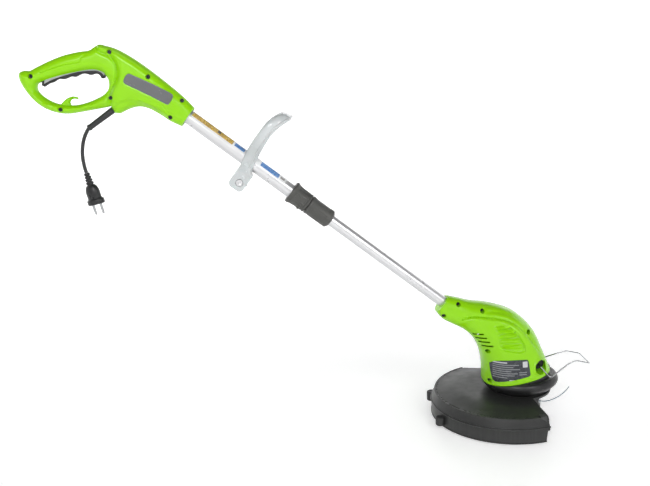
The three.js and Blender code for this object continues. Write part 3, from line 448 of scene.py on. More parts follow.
def relief(loops, front, back, spacing=2.0, rings=RINGS, lines=(), open_lines=()):
    """A closed body over a flat outline (its first loop, less the others): two skins and their edges.

    front and back give each point's height, and the body is left open where they meet. Lines are
    outlines that the skins follow, with rings of points beside them.
    """
    def held(points):
        keep = inside(points, loops[0])
        for loop in loops[1:]:
            keep &= ~inside(points, loop)
        return keep

    def to_nearest(points):
        near = np.full(len(points), 1e9)
        for loop in loops:
            near = np.minimum(near, distance(points, loop))
        return near

    # Rings of points beside the outlines, and a triangular grid between them.
    extra, reach = [], []
    for loop in loops:
        tangent = np.roll(loop, -1, axis=0) - np.roll(loop, 1, axis=0)
        normal = np.stack([-tangent[:, 1], tangent[:, 0]], 1)
        normal /= np.maximum(np.linalg.norm(normal, axis=1), 1e-9)[:, None]
        for ring in rings:
            for side in (-1, 1):
                extra.append((loop + side * ring * normal)[::1 if ring < 3 else 2])
                reach.append(np.full(len(extra[-1]), ring, float))
    extra, reach = np.vstack(extra), np.concatenate(reach)
    keep = held(extra)
    extra, reach = extra[keep], reach[keep]
    extra = extra[to_nearest(extra) > reach * 0.93]
    boundary = np.vstack(loops)
    low, high = boundary.min(0), boundary.max(0)
    grid = []
    for i, row in enumerate(np.arange(low[1], high[1], spacing * 0.866)):
        xs = np.arange(low[0] + (spacing / 2 if i % 2 else 0), high[0], spacing)
        grid.append(np.stack([xs, np.full(len(xs), row)], 1))
    grid = np.vstack(grid)
    grid = grid[held(grid)]
    grid = grid[to_nearest(grid) > max(rings) * 0.9 + spacing * 0.4]
    free = np.vstack([extra, grid])
    guides = [(line, True) for line in lines] + [(line, False) for line in open_lines]
    for line, closed in guides:
        free = free[distance(free, line, closed) > spacing * 0.35]
    points, edges = [], []
    for line, closed in [(loop, True) for loop in loops] + guides:
        start, count = len(points), len(line)
        points.extend(line.tolist())
        edges.extend((start + i, start + (i + 1) % count) for i in range(count if closed else count - 1))
    points.extend(free.tolist())
    cdt = delaunay_2d_cdt([Vector(p) for p in points], edges, [], 0, 1e-5)
    flat = np.array([tuple(v) for v in cdt[0]])
    corners = np.array([face for face in cdt[2] if len(face) == 3])
    corners = corners[held(flat[corners].mean(1))]
    top, bottom = front(flat), back(flat)
    thick = np.abs(top - bottom) > 0.02
    corners = corners[thick[corners].any(1)]
    across = flat[corners[:, 1]] - flat[corners[:, 0]]
    other = flat[corners[:, 2]] - flat[corners[:, 0]]
    backwards = across[:, 0] * other[:, 1] - across[:, 1] * other[:, 0] < 0
    corners[backwards] = corners[backwards][:, ::-1]
    count = len(flat)
    verts = [(x, y, z) for height in (top, bottom) for (x, y), z in zip(flat, height)]
    faces = corners.tolist() + (corners[:, ::-1] + count).tolist()
    used = dict.fromkeys(edge for a, b, c in corners.tolist() for edge in ((a, b), (b, c), (c, a)))
    for a, b in used:
        if (b, a) not in used and (thick[a] or thick[b]):
            faces.append([b, a, a + count, b + count])
    return verts, faces


def at_height(height):
    """A level skin for relief."""
    return lambda flat: np.full(len(flat), float(height))


# Heights of a side view point towards the viewer's side: (x, z, height) to (x, y, z).
def side_view(side):
    return Matrix(((1, 0, 0, 0), (0, 0, side, 0), (0, 1, 0, 0), (0, 0, 0, 1)))


# Heights of an end view point along the shaft: (y, z, height) to (x, y, z).
END_VIEW = Matrix(((0, 0, 1, 0), (1, 0, 0, 0), (0, 1, 0, 0), (0, 0, 0, 1)))


def bands(rows, sides, closed=False):
    """Faces between rings of points, each with the same number of them."""
    faces = []
    for row in range(rows if closed else rows - 1):
        a, b = row * sides, ((row + 1) % rows) * sides
        for i in range(sides):
            j = (i + 1) % sides
            faces.append([a + i, a + j, b + j, b + i])
    return faces


def turned(profile, sides=64, reach=None):
    """A turned body around Z from [radius, height] points. A bored one closes on its first point."""
    bored = profile[0] == profile[-1]
    rows = profile[:-1] if bored else profile
    verts = []
    for radius, height in rows:
        for angle in angles_of(sides):
            r = reach(radius, height, angle) if reach else radius
            verts.append((r * math.cos(angle), r * math.sin(angle), height))
    return verts, bands(len(rows), sides, bored)


def block(xs, ys, floor, top):
    """A block with upright sides, whose floor is a height for each x."""
    verts = [(x, y, z) for x in xs for y in ys for z in (floor(x), top)]
    return verts, [[0, 1, 3, 2], [4, 6, 7, 5], [0, 4, 5, 1], [2, 3, 7, 6], [1, 5, 7, 3], [0, 2, 6, 4]]


def ring(inner, outer, low, high, edge=0.4):
    """Profile of a tube with eased edges."""
    return [[inner, low + edge], [inner + edge, low], [outer - edge, low], [outer, low + edge],
        [outer, high - edge], [outer - edge, high], [inner + edge, high], [inner, high - edge],
        [inner, low + edge]]


def smooth_profile(points, spacing):
    return curve_through(points, spacing).tolist()


def swept(path, radius, sides=16, up=(0, 0, 1)):
    """A round bar along a path, with rounded ends."""
    path = [Vector(p) for p in path]
    across = Vector(up)
    rings = []
    for i, point in enumerate(path):
        ahead = (path[min(i + 1, len(path) - 1)] - path[max(i - 1, 0)]).normalized()
        across = (across - ahead * across.dot(ahead)).normalized()
        rings.append((point, across.copy(), ahead.cross(across), radius))
    drops = (0.75, 0.35)
    first = [(*rings[0][:3], radius * math.sqrt(1 - drop * drop)) for drop in drops]
    last = [(*rings[-1][:3], radius * math.sqrt(1 - drop * drop)) for drop in reversed(drops)]
    rings = first + rings + last
    verts = []
    for point, across, third, r in rings:
        for angle in angles_of(sides):
            verts.append(point + across * (r * math.cos(angle)) + third * (r * math.sin(angle)))
    faces = bands(len(rings), sides)
    faces.append(list(range(sides))[::-1])
    faces.append([(len(rings) - 1) * sides + i for i in range(sides)])
    return verts, faces


def moved(x=0, y=0, z=0):
    return Matrix.Translation((x, y, z))


# ---------------------------------------------------------------- the lead and the cutting line
CORD_RADIUS = 3.3
# The lead's route in millimetres in the part's frame, from the strain relief to the plug's boot.
LEAD_ROUTE = [
    (34.6, 0, -108.8), (31, 0, -113.5), (26.5, 0, -121), (22.6, 0, -130), (19.8, 0, -140),
    (18, 0, -150), (17.4, 0, -160), (17.8, 0, -170), (19, 0, -180), (20.8, 0, -188.6),
]
# The cutting line's route in millimetres in the head's frame, from the wound line to its free end.
LINE_ROUTE = [
    (30.6, -23.9, 28.5), (35, -27.3, 28.5), (39.5, -30.6, 28.5), (44, -32.6, 28.5), (50, -33.2, 28.6),
    (58, -31.2, 28.8), (67, -26.8, 29), (76, -20.6, 29.3), (85, -13, 29.6), (94, -4, 30), (102, 5, 30.4),
    (109, 14, 30.8), (115, 23, 31.2),
]
LINE_RADIUS = 0.8
PLUG_FOOT, PLUG_LEAN, PLUG_TURN = (20.86, 0, -188.9), 168, 30
PLUG = moved(*PLUG_FOOT) @ spun(PLUG_LEAN, "Y") @ spun(PLUG_TURN, "Z")
PLUG_FLATNESS, RELIEF_FLATNESS = 0.68, 0.86
PIN_OFFSET = 9.5
EXIT_FOOT, EXIT_LEAN = (-132, 0, -69), 197.7
CORD_EXIT = moved(*EXIT_FOOT) @ spun(EXIT_LEAN, "Y")


def length_of(path):
    return sum((Vector(b) - Vector(a)).length for a, b in zip(path, path[1:]))


def flattened(share):
    """A turned part's reach, drawn in one way to a share of its radius above its foot."""
    def reach(radius, height, angle):
        return radius / math.hypot(math.cos(angle), math.sin(angle) / share) if height > 0 else radius
    return reach


def build_lead():
    path = curve_through(LEAD_ROUTE, 1.5)
    cord = make("mains_lead", swept(path, CORD_RADIUS, 24), "rubber", "handle", PART, ["mains_cord"])

    boot = [[0, 0], [4.2, 0]]
    for i in range(4):
        start, radius = 0.8 + i * 5.4, 5.3 + i * 0.55
        boot += [[radius - 0.4, start], [radius, start + 0.5], [radius, start + 3.4],
            [radius - 0.4, start + 3.8], [radius - 1.3, start + 4.1], [radius - 1.3, start + 5.2]]
    boot += [[7, 22.6], [7.4, 26], [0, 26]]

    shoulder = smooth_profile([(8.8, 23), (10.6, 24.6), (13, 29), (14.6, 36), (14.4, 43), (14.7, 47.5),
            (16.6, 49.5)], 0.8)
    plug = [[0, 23], [7.6, 22.6], *shoulder, [17.6, 50], [18.05, 50.8], [18.05, 57], [17.5, 58.4], [16, 59],
        [0, 59]]
    body = Body().add(*turned(boot, 40)).add(*turned(plug, 72, flattened(PLUG_FLATNESS)))
    plug_piece = make("moulded_plug", body, "black", "handle", PART @ PLUG, ["plug_body"], merge=False)
    pin = [[0, 57], [2.42, 57], [2.42, 68.5], [2.2, 68.7], [2.2, 76.6], [1.9, 77.5], [1.1, 78], [0, 78]]
    pins = [make(f"plug_{name}_turned", turned(pin, 28), "steel", "handle", PART @ PLUG @ moved(x),
            [f"plug_{name}"]) for name, x in (("pin_a", -PIN_OFFSET), ("pin_b", PIN_OFFSET))]

    start, length, root, tip = 2.0, 56.4, 6.0, 5.0
    profile = [[0, -15.8], [6.9, -15.8], [6.9, -13.2], [5.2, -13], [5.2, -1], [6.2, 0]]
    for i in range(14):
        at = start + i * (length - 7) / 13
        profile.append([root + (tip - root) * at / length, at])
    profile += [[tip + 0.1, length - 4.6], [tip + 0.7, length - 4], [tip + 0.8, length - 1],
        [tip + 0.2, length - 0.2], [tip - 0.6, length], [0, length]]

    boot_piece = make("moulded_strain_relief", turned(profile, 44, flattened(RELIEF_FLATNESS)), "rubber",
        "handle", SHAFT @ CORD_EXIT, ["strain_relief"])
    metres = [(x * MM, y * MM, z * MM) for x, y, z in path.tolist()]
    length_of(metres)

    line_path = curve_through(LINE_ROUTE, 2.0)
    line = make("nylon_line", swept(line_path, LINE_RADIUS, 12), "line", "rotor", HEAD, ["cutting_line"])
    points = [tuple(HEAD @ Vector(p)) for p in line_path.tolist()]
    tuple(points[0])
    length_of(points)


# ---------------------------------------------------------------- screws
SCREW_HEAD, SCREW_SHANK, SCREW_CROWN, SCREW_TIP = 3.3, 2.2, 2.6, 10
SCREW_RECESS = 3.7
# Each screw's place in the side view, and the depth that its head sits at.
HANDLE_SCREWS = [
    (-276, -104, 11), (-204, -122, 11), (-189, 12, 16), (-144.5, -52, 16), (-112, 17, 16), (-42, 18.4, 14),
    (-42, -18.6, 14),
]
HOUSING_SCREWS = [(-113.5, 228, 10), (-141, 207, 10), (-70, 215, 16), (15, 171, 16), (-62, 138, 20),
    (-57, 78, 22)]


def screw_shape(seat):
    """Recessed-cross screw along +Z with its head at the bottom, sunk to its seat."""
    sides = 32
    rows = [(0.0, 0.9), (0.55, 0.9), (1.6, 0.5), (2.1, 0.0), (SCREW_HEAD - 0.5, 0.0), (SCREW_HEAD, 0.5),
        (SCREW_HEAD, 2.3), (SCREW_SHANK, 2.3), (SCREW_SHANK, SCREW_TIP - 2 + seat + SCREW_CROWN),
        (SCREW_SHANK * 0.35, SCREW_TIP + seat + SCREW_CROWN), (0.0, SCREW_TIP + seat + SCREW_CROWN)]
    verts = []
    for radius, height in rows:
        for angle in angles_of(sides):
            arm = abs(math.cos(2 * angle)) ** 3
            sunk = height if radius > 2.0 else max(height, 0.1) * arm * 1.6
            verts.append((radius * math.cos(angle), radius * math.sin(angle), sunk - seat - SCREW_CROWN))
    return verts, bands(len(rows), sides)


def screw_rings(screws, outer):
    """Guide circles beside the edge of each screw's recess."""
    return [circle((x, z), radius, 24) for x, z, _ in screws for radius in (SCREW_RECESS - 0.1, outer)]


def recessed(flat, height, screws):
    """A skin with the screws' recesses sunk into it."""
    for x, z, seat in screws:
        height = np.where(np.hypot(flat[:, 0] - x, flat[:, 1] - z) < SCREW_RECESS, np.minimum(seat, height),
            height)
    return height


def build_screws():
    sets = (
        ("handle_screw", HANDLE_SCREWS, SHAFT, "handle"),
        ("housing_screw", HOUSING_SCREWS, HEAD, "motor_unit"),
    )
    for prefix, screws, place, rides in sets:
        for i, (x, z, seat) in enumerate(screws):
            make(f"{prefix}_{i + 1}_turned", screw_shape(seat), "dark_steel", rides,
                place @ moved(x, 0, z) @ ALONG_Y, [f"{prefix}_{i + 1}"])


# ---------------------------------------------------------------- rear handle
# The body's top runs from the tube's mouth back to the hump, and its belly from the lead forwards.
BODY_TOP = [
    (-18, 19), [(-40, 23), (-70, 25.5), (-110, 27), (-150, 26.5), (-185, 22), (-206, 14.5)],
    [(-211, 12.6), (-215, 9.5)],
]
BODY_BELLY = [(-126, -72), (-118, -67), [(-109, -50), (-97, -36.5), (-81, -29.5), (-60, -26.5),
        (-40, -25.5), (-18, -21)]]
HANDLE_SIDE = [
    *BODY_TOP,
    (-219, 0),
    [(-223, -9), (-237, -23), (-253, -42), (-266, -62), (-277, -82), (-285, -98)],
    [(-288.5, -101.5), (-292, -103.5), (-296, -107.5), (-298, -113), (-296, -118)],
    [(-288, -125), (-272, -132.5), (-252, -138), (-230, -138.5), (-208, -132), (-190, -121), (-172, -103),
     (-155, -85), (-142, -71), (-138, -66)],
    *BODY_BELLY,
]
LOOP_OPENING = [(-262, -111), (-256, -99), (-240, -77), (-222, -56), (-205, -38), (-193, -29),
    (-181, -25.5), (-170, -29), (-162, -37), (-158.5, -46), (-160, -57), (-166, -70), (-176, -86),
    (-188, -100), (-204, -112), (-222, -120), (-240, -122.5), (-255, -120)]
CREASE = [(-212, 3), (-203, 1.5), (-192, 4), (-182, 5), (-172, 1), (-163, -7), (-157, -17), (-154, -32),
    (-151.5, -46), (-145, -58), (-138, -66)]
BODY_SIDE = [*BODY_TOP, CREASE, *BODY_BELLY]
TRIGGER_SLOT = [(-264, -94), (-258.5, -111), (-240, -100), (-170.5, -37), (-169, -24), (-180, -15),
    (-215, -30), (-250, -62)]
BADGE = [(-136.5, -16.6), [(-140.8, -15.4), (-142.7, -12)], [(-143.7, -6), (-143.2, -1)],
    [(-141.4, 2.1), (-137.4, 3.2)], [(-102, 11.2), (-67, 17.4)], [(-60.8, 17.4), (-57.8, 14.6)],
    [(-56.6, 8), (-56.4, 2)], [(-57.6, -1.9), (-61.6, -3.2)], [(-92, -8), (-124, -14.2)]]
HOOK = [(-212, -121), [(-210, -107), (-207, -98.5), (-202, -92), (-196, -88.8)],
    [(-193.2, -87.9), (-191.6, -89)], [(-193, -91.5), (-197.5, -94), (-200.5, -98.5), (-199.5, -103.5)],
    (-191, -110)]
GRIP_PANEL = [(-267, -90), [(-258, -76.6), (-245.6, -59.3), (-233.5, -45.7), (-221, -32.8)],
    [(-223.6, -26), (-221, -19)]]
BELLY_LINE = [(-135.5, -62), [(-132.5, -53), (-128, -44), (-119, -34.5), (-106, -26.5), (-92, -21.8),
        (-77, -19.4), (-58, -18.4), (-40, -18.8)]]
LOOP_HALF, BODY_HALF = 17, 23
TUBE_CLEAR, TUBE_BORE_START = 13.3, -70.3
CORD_CLEAR = 5.6
MOUTH = -18  # where the handle's collar ends along the shaft
SHELL_WALL = 3


def build_handle():
    outer = outline(HANDLE_SIDE, 2.0)
    opening = curve_through(LOOP_OPENING, 2.0, closed=True)
    body_loop = outline(BODY_SIDE, 2.0)
    outer_edge = outline(HANDLE_SIDE, 2.0, closed=False)
    body_edge = outline(BODY_SIDE, 2.0, closed=False)
    crease = outline([(-215, 9.5), CREASE], 2.0, closed=False)
    panel_line = outline(GRIP_PANEL, 1.5, closed=False)
    belly_line = outline(BELLY_LINE, 2.0, closed=False)
    belly = np.vstack([belly_line, [(-40, -60), (-118, -90), (-140, -80)]])
    slot = np.array(TRIGGER_SLOT, float)
    badge = outline(BADGE, 2.5)
    exit_start = np.array((CORD_EXIT @ Vector((0, 0, 0))).xz)
    exit_heading = np.array((CORD_EXIT.to_3x3() @ Vector((0, 0, 1))).xz)

    def shell_height(flat, side):
        s = flat[:, 0]
        to_edge = np.minimum(distance(flat, outer_edge, closed=False), distance(flat, opening))
        loop_height = LOOP_HALF * rounded(to_edge, 14.5, 2.05)
        in_body = inside(flat, body_loop)
        radius = 12 + 8 * eased(s, -120, -25)
        half = BODY_HALF - 2.6 * eased(s, -90, -20)
        body_height = half * rounded(distance(flat, body_edge, closed=False), radius, 2.1)
        # Under the belly line the side falls away in a facet.
        body_height -= np.where(inside(flat, belly), 6.5 * eased(distance(flat, belly_line, closed=False),
                -1, 8), 0)
        height = np.where(in_body, np.maximum(body_height, loop_height), loop_height)
        # A shallow valley runs along the crease between the loop and the body.
        valley = distance(flat, crease, closed=False)
        height -= 3.0 * ridge(valley, 2.6) * eased(to_edge, 0.5, 5)
        # The grip's cap line.
        panel = distance(flat, panel_line, closed=False)
        height -= 1.3 * ridge(panel, 0.8) * (to_edge > 1.5)
        # The collar where the tube goes in, and its eased end.
        mouth = MOUTH - s
        height -= 2.2 * (1 - rounded(mouth, 2.2)) * (mouth < 2.2)
        return np.where(inside(flat, badge), height - 0.7, height) if side < 0 else height

    def floor_height(flat):
        floor = np.where(inside(flat, slot), 6.2, GAP)
        tube, along = bored(flat, (0, 0), (1, 0), TUBE_CLEAR)
        cord, down = bored(flat, exit_start, exit_heading, CORD_CLEAR)
        cord = cord * (down > -25) * (down < 30)
        return np.maximum(np.maximum(floor, tube * (along > TUBE_BORE_START)), cord)

    def front(flat, side):
        height = np.maximum(shell_height(flat, side), floor_height(flat))
        return recessed(flat, height, HANDLE_SCREWS) if side < 0 else height

    def back(flat, side):
        in_loop_limb = (flat[:, 1] < -95) | ((flat[:, 0] > -160) & (flat[:, 1] < -60))
        return np.maximum(floor_height(flat), np.where(in_loop_limb, GAP, front(flat, side) - SHELL_WALL))

    hook = outline(HOOK, 1.5)
    for name, side in (("right", -1), ("left", 1)):
        view = side_view(side)
        lines = [badge, *screw_rings(HANDLE_SCREWS, 4.3)] if side < 0 else []
        seams = [panel_line[2:-1], belly_line[3:-2], crease[4:-4]]
        body = Body()
        body.add(*relief([outer, opening], lambda f: front(f, side), lambda f: back(f, side), 1.9,
                lines=lines, rings=RINGS + (11.5,), open_lines=seams), place=view)
        body.add(*relief([hook], lambda f: np.maximum(GAP, 6 * rounded(distance(f, hook), 4.5)),
                at_height(GAP), 1.6, (0.1, 0.5, 1.2, 2.2)), place=view)
        make(f"handle_half_{name}", body, "green", "handle", SHAFT, [f"handle_shell_{name}"], sharp=40)

    plate = relief([badge], lambda f: 23.0 + 0.55 * rounded(distance(f, badge), 0.9), at_height(22.2), 3.0,
        (0.15, 0.4, 0.9, 1.6))
    make("badge_plate_smooth", Body().add(*plate, place=side_view(-1)), "badge", "handle", SHAFT,
        ["badge_plate"])


TRIGGER_SIDE = [(-269, -90), [(-267, -85), (-261, -82), (-252, -75)],
    [(-240, -59), (-222, -40.5), (-206, -27), (-194, -20), (-182, -18)], (-176, -23), (-174, -32),
    [(-178, -35.2), (-184, -33), (-190, -34.5), (-196.5, -42), (-203, -44.5), (-210, -50), (-215.5, -60),
        (-222, -64.5), (-229, -75), (-237, -81), (-241.5, -91), (-246, -97), (-250, -107)], (-255, -108),
    (-259, -101), (-266, -94)]


def build_trigger():
    edge = outline(TRIGGER_SIDE, 1.6)

    def height(flat):
        return 5.5 - 2.4 * (1 - rounded(distance(flat, edge), 2.4))

    body = Body().add(*relief([edge], height, lambda f: -height(f), 2.4, (0.12, 0.5, 1.2, 2.4)),
        place=side_view(-1))
    stub = [[0, -12], [2.1, -12], [2.4, -11.7], [2.4, 11.7], [2.1, 12], [0, 12]]
    body.add(*turned(stub, 24), place=moved(TRIGGER_STUB[0], 0, TRIGGER_STUB[1]) @ ALONG_Y)
    make("trigger_bar", body, "black", "trigger", SHAFT, ["trigger"], merge=False)
    # A pale strip along the trigger's sides, above its finger waves, is painted highlight where light falls
    # on the trigger's flanks.
    lit_flank = outline([(-252.5, -103), [(-245, -88), (-231.5, -69), (-218.5, -52.5), (-205.5, -40),
                (-192, -29.5), (-182, -27.5), (-176.5, -29)], [(-178, -25), (-184, -22), (-194, -23.5),
                (-207, -31), (-222, -44.5), (-239, -63), (-250, -81), (-256, -97)]], 2.0)
    flank_highlights = Body()
    for side in (-1, 1):
        flank_highlights.add(*relief([lit_flank], lambda f: 5.2 + 0.9 * rounded(distance(f, lit_flank), 1.6), at_height(4.4),
                2.0, (0.15, 0.5, 1.1, 1.6)), place=side_view(side))
    make("trigger_flank_highlight", flank_highlights, "painted_flank_highlight", "trigger", SHAFT, merge=False)


# ---------------------------------------------------------------- telescopic shaft and twist lock
# Inner and outer radius, start and end along the shaft.
UPPER_TUBE = (11.8, 13, -70, 246)
LOWER_TUBE = (9.5, 10.5, 150, 612)
FILM_START, FILM_LENGTH, FILM_HALF_ANGLE = -14, 204, 68
FILM_RADII = (13.56, 13.08)


def build_shaft():
    place = SHAFT @ ALONG_X
    make("upper_tube_drawn", turned(ring(*UPPER_TUBE), 72), "aluminium", "handle", place, ["upper_tube"])
    make("lower_tube_drawn", turned(ring(*LOWER_TUBE), 64), "aluminium", "motor_unit", place, ["lower_tube"])

    # The printed film on the tube's upper side, with its run along the tube and around it as UVs.
    rows, columns = 103, 17
    verts, faces, places = [], [], []
    for radius in FILM_RADII:
        for i in range(rows):
            for j in range(columns):
                t, u = i / (rows - 1), j / (columns - 1)
                angle = math.radians(FILM_HALF_ANGLE * (2 * u - 1))
                verts.append((FILM_START + FILM_LENGTH * t, radius * math.sin(angle),
                        radius * math.cos(angle)))
                places.append((t, u))
    sheet = rows * columns
    for i in range(rows - 1):
        for j in range(columns - 1):
            a = i * columns + j
            b, c, d = a + 1, a + columns + 1, a + columns
            faces.append([a, b, c, d])
            faces.append([sheet + a, sheet + d, sheet + c, sheet + b])
    rim = [*range(columns)] + [i * columns + columns - 1 for i in range(1, rows)]
    rim += [(rows - 1) * columns + j for j in range(columns - 2, -1, -1)] + [i * columns
        for i in range(rows - 2, 0, -1)]
    for a, b in zip(rim, rim[1:] + rim[:1]):
        faces.append([b, a, a + sheet, b + sheet])
    film = make("tube_film", Body().add(verts, faces), "sticker", "handle", SHAFT, ["tube_sticker"],
        merge=False)
    add_uvs(film, places)

    def gripped(low, high, count, depth, share, top):
        """Sinks a row of panels into a turned grip between two heights."""
        def reach(radius, height, angle):
            if radius < top - 3.5 or not low < height < high:
                return radius
            turn = (angle * count / (2 * math.pi)) % 1
            edge = min(abs(turn - 0.5) / (share / 2), 1)
            side = 1 - eased(np.array(edge), 0.86, 1.0)
            end = eased(np.array(height), low, low + 1) * (1 - eased(np.array(height), high - 1, high))
            return radius - depth * float(side) * float(end)
        return reach

    def dense(profile, step=0.8):
        """Adds heights along a profile so that panels can be sunk into it."""
        result = [profile[0]]
        for (r1, h1), (r2, h2) in zip(profile, profile[1:]):
            count = max(1, round(math.hypot(r2 - r1, h2 - h1) / step))
            result += [[r1 + (r2 - r1) * i / count, h1 + (h2 - h1) * i / count] for i in range(1, count + 1)]
        return result

    collar = [[13.3, 209.4], [13.7, 209], [19.6, 209], [20.6, 209.6], [21.2, 211], [21.2, 213.4],
        [20.4, 215.2], [19.2, 218], [18.7, 222], [18.4, 226], [18.3, 240.5], [18.4, 241.2], [17.6, 241.8],
        [17.6, 243.2], [18.5, 243.8], [18.6, 245], [18.6, 246.8], [18.2, 247.2], [14.9, 247.4], [14.9, 268],
        [11.4, 268], [11.4, 246.5], [13.3, 246.5], [13.3, 209.4]]
    body = Body().add(*turned(dense(collar), 128, gripped(217, 240, 6, 1.1, 0.62, 18)))
    for turn in range(5):
        nib = spun(-66 + 20 * turn, "Z") @ moved(18.4, 0, 236)
        body.add(*turned([[0, -1.6], [1.3, -1.6], [1.6, -1.2], [1.6, 1.2], [1.3, 1.6], [0, 1.6]], 12),
            place=nib)
    make("lock_collar_moulded", body, "collar", "handle", place, ["lock_collar"], merge=False, sharp=28)
    sleeve = [[16, 249.5], [16.3, 249.2], [17.8, 249.2], [18.2, 249.6], [18.2, 253.4], [17.7, 254.4],
        [17.7, 295.4], [17.3, 296.4], [13, 299.7], [12.4, 300], [11.6, 300], [11.2, 299.6], [11.2, 295],
        [14.6, 288], [14.6, 270], [16, 268.6], [16, 249.5]]
    make("lock_sleeve_moulded", turned(dense(sleeve), 128, gripped(257, 289, 3, 0.7, 0.74, 17)),
        "collar", "lock_sleeve", place, ["lock_sleeve"], sharp=28)


def add_uvs(piece, places):
    layer = piece.data.uv_layers.new(name="UVMap")
    for loop in piece.data.loops:
        layer.data[loop.index].uv = places[loop.vertex_index % len(places)]


# ---------------------------------------------------------------- assist handle
ASSIST_STATION = 109
LUG_STATION = 121.5
ASSIST_LIMB = [(17, -14), (18.5, -4), (19.5, 8), (29, 20), (44, 36), (53, 54), (56, 72), (53.5, 90),
    (45, 102), (30, 109)]
ASSIST_OPENING = [(12, 23.5), (23, 31), (36, 44), (43, 60), (44.5, 74), (41, 88), (31, 97), (15, 100)]
BOLT = (123.5, -42)


def mirrored(points):
    return [(-x, y) for x, y in reversed(points)]


def build_assist_handle():
    bore = 13.9
    start = math.asin(1.5 / bore)
    arc = [(bore * math.sin(a), -bore * math.cos(a)) for a in np.linspace(-start, start - 2 * math.pi, 60)]
    lug = [(11, -55), (11, -24)]
    left = [(-11, -24), (-11, -55)]
    outer_path = outline([(1.5, -57), (9, -57), lug[0], lug[1],
            [*ASSIST_LIMB, (0, 111), *mirrored(ASSIST_LIMB), left[0]], left[1], (-9, -57), (-1.5, -57)],
        2.0, closed=False)
    loop = np.vstack([outer_path, np.array(arc)])
    opening = curve_through([(0, 22), *ASSIST_OPENING, (0, 100.5), *mirrored(ASSIST_OPENING)], 2.0,
        closed=True)
    round_edge = outer_path[6:-6]

    def half(flat):
        """Half thickness along the shaft: the limbs are rounded, the clamp's lugs are broad and squarer."""
        to_edge = np.minimum(distance(flat, round_edge, closed=False), distance(flat, opening))
        n = flat[:, 1]
        swell = 1.05 + 0.15 * np.clip((60 - n) / 40, 0, 1)
        soft = 9.8 * swell * rounded(to_edge, 5.8, 2.1)
        corner = np.clip(np.abs(n + 40) - 9, 0, None)
        firm = 15.0 - 1.6 * (1 - rounded(to_edge, 1.8)) - 0.09 * np.where(n < -48, corner, 0) ** 2
        lug = 1 - eased(n, -20, -12)
        return soft * (1 - lug) + firm * lug

    def middle(n):
        rise = n - 60
        leaning = ASSIST_STATION + np.where(rise > 0, 0.006, 0.0016) * rise * rise
        lug = 1 - eased(n, -20, -12)
        return leaning * (1 - lug) + LUG_STATION * lug

    def front(flat):
        return middle(flat[:, 1]) + half(flat)

    def back(flat):
        return middle(flat[:, 1]) - half(flat)

    body = Body().add(*relief([loop, opening], front, back, 1.7, (0.1, 0.35, 0.8, 1.5, 2.4, 3.6, 5)),
        place=END_VIEW)
    # A raised bead runs round the loop beside its front edge.
    bead = [(y * 0.985, n)
        for y, n in curve_through([(18, -9), *ASSIST_LIMB[1:], (0, 111), *mirrored(ASSIST_LIMB[1:]),
                (-18, -9)], 3.0)]
    bead = [(float(middle(np.array([n]))[0]) + 5.6, y, n) for y, n in bead]
    body.add(*swept(bead, 1.35, 10, up=(1, 0, 0)))
    piece = make("assist_loop", body, "frosted", "assist_handle", SHAFT, ["assist_handle"], sharp=42,
        merge=False)
    at = SHAFT @ moved(BOLT[0], 0, BOLT[1]) @ ALONG_Y
    carve(piece, turned([[0, -30], [7.0, -30], [7.0, -8.5], [3.3, -8.5], [3.3, 30], [0, 30]], 40), at, 42)

    bolt = [[0, -9.6], [2.0, -9.6], [3.1, -9.9], [3.1, -12], [5.9, -12], [6.2, -11.6], [6.2, -9.2],
        [5.8, -8.8], [3, -8.8], [3, 21.4], [2.5, 22], [0, 22]]
    make("clamp_bolt_turned", turned(bolt, 48), "aluminium", "assist_handle", at, ["clamp_bolt"])

    angles = np.linspace(0, 2 * np.pi, 120, endpoint=False)
    reach = 12.5 + 2 * np.cos(5 * angles)
    star = np.stack([reach * np.cos(angles), reach * np.sin(angles)], 1)
    hole = circle((0, 0), 3.3, 32)

    def thick(flat):
        return 6.5 - 2.2 * (1 - rounded(distance(flat, star), 2.2)) - 1.2 * ridge(np.hypot(*flat.T) - 7.2,
            0.9)

    knob = Body().add(*relief([star, hole], thick,
            lambda f: -6.5 + 1.2 * (1 - rounded(distance(f, star), 1.2)), 1.3, (0.1, 0.4, 1.0, 2.0)),
        place=moved(0, 0, 17.8))
    make("clamp_knob_star", knob, "black", "clamp_knob", at, ["clamp_knob"])


# ---------------------------------------------------------------- motor housing
# Stations: lower rear point, upper front point (x, z), and half depth.
STATIONS = [(-154, 213.5, -131, 241, 20), (-142, 198.5, -111, 236, 24), (-123, 187, -88, 229, 28),
    (-103, 176, -55, 223, 34), (-86, 160, -16, 210, 43), (-75, 141, 12, 190, 50), (-69, 122, 33, 164, 55),
    (-66, 103, 46, 134, 58.5), (-65.3, 89, 57, 107, 61), (-65, 68.8, 63.5, 91.3, 62)]
SEAM_REAR, SEAM_FRONT = (-65, 68.5), (63.5, 91)  # the base's top slants up to the front
SEAM_RISE = (SEAM_FRONT[1] - SEAM_REAR[1]) / (SEAM_FRONT[0] - SEAM_REAR[0])


def seam_height(x):
    return SEAM_REAR[1] + SEAM_RISE * (x - SEAM_REAR[0])


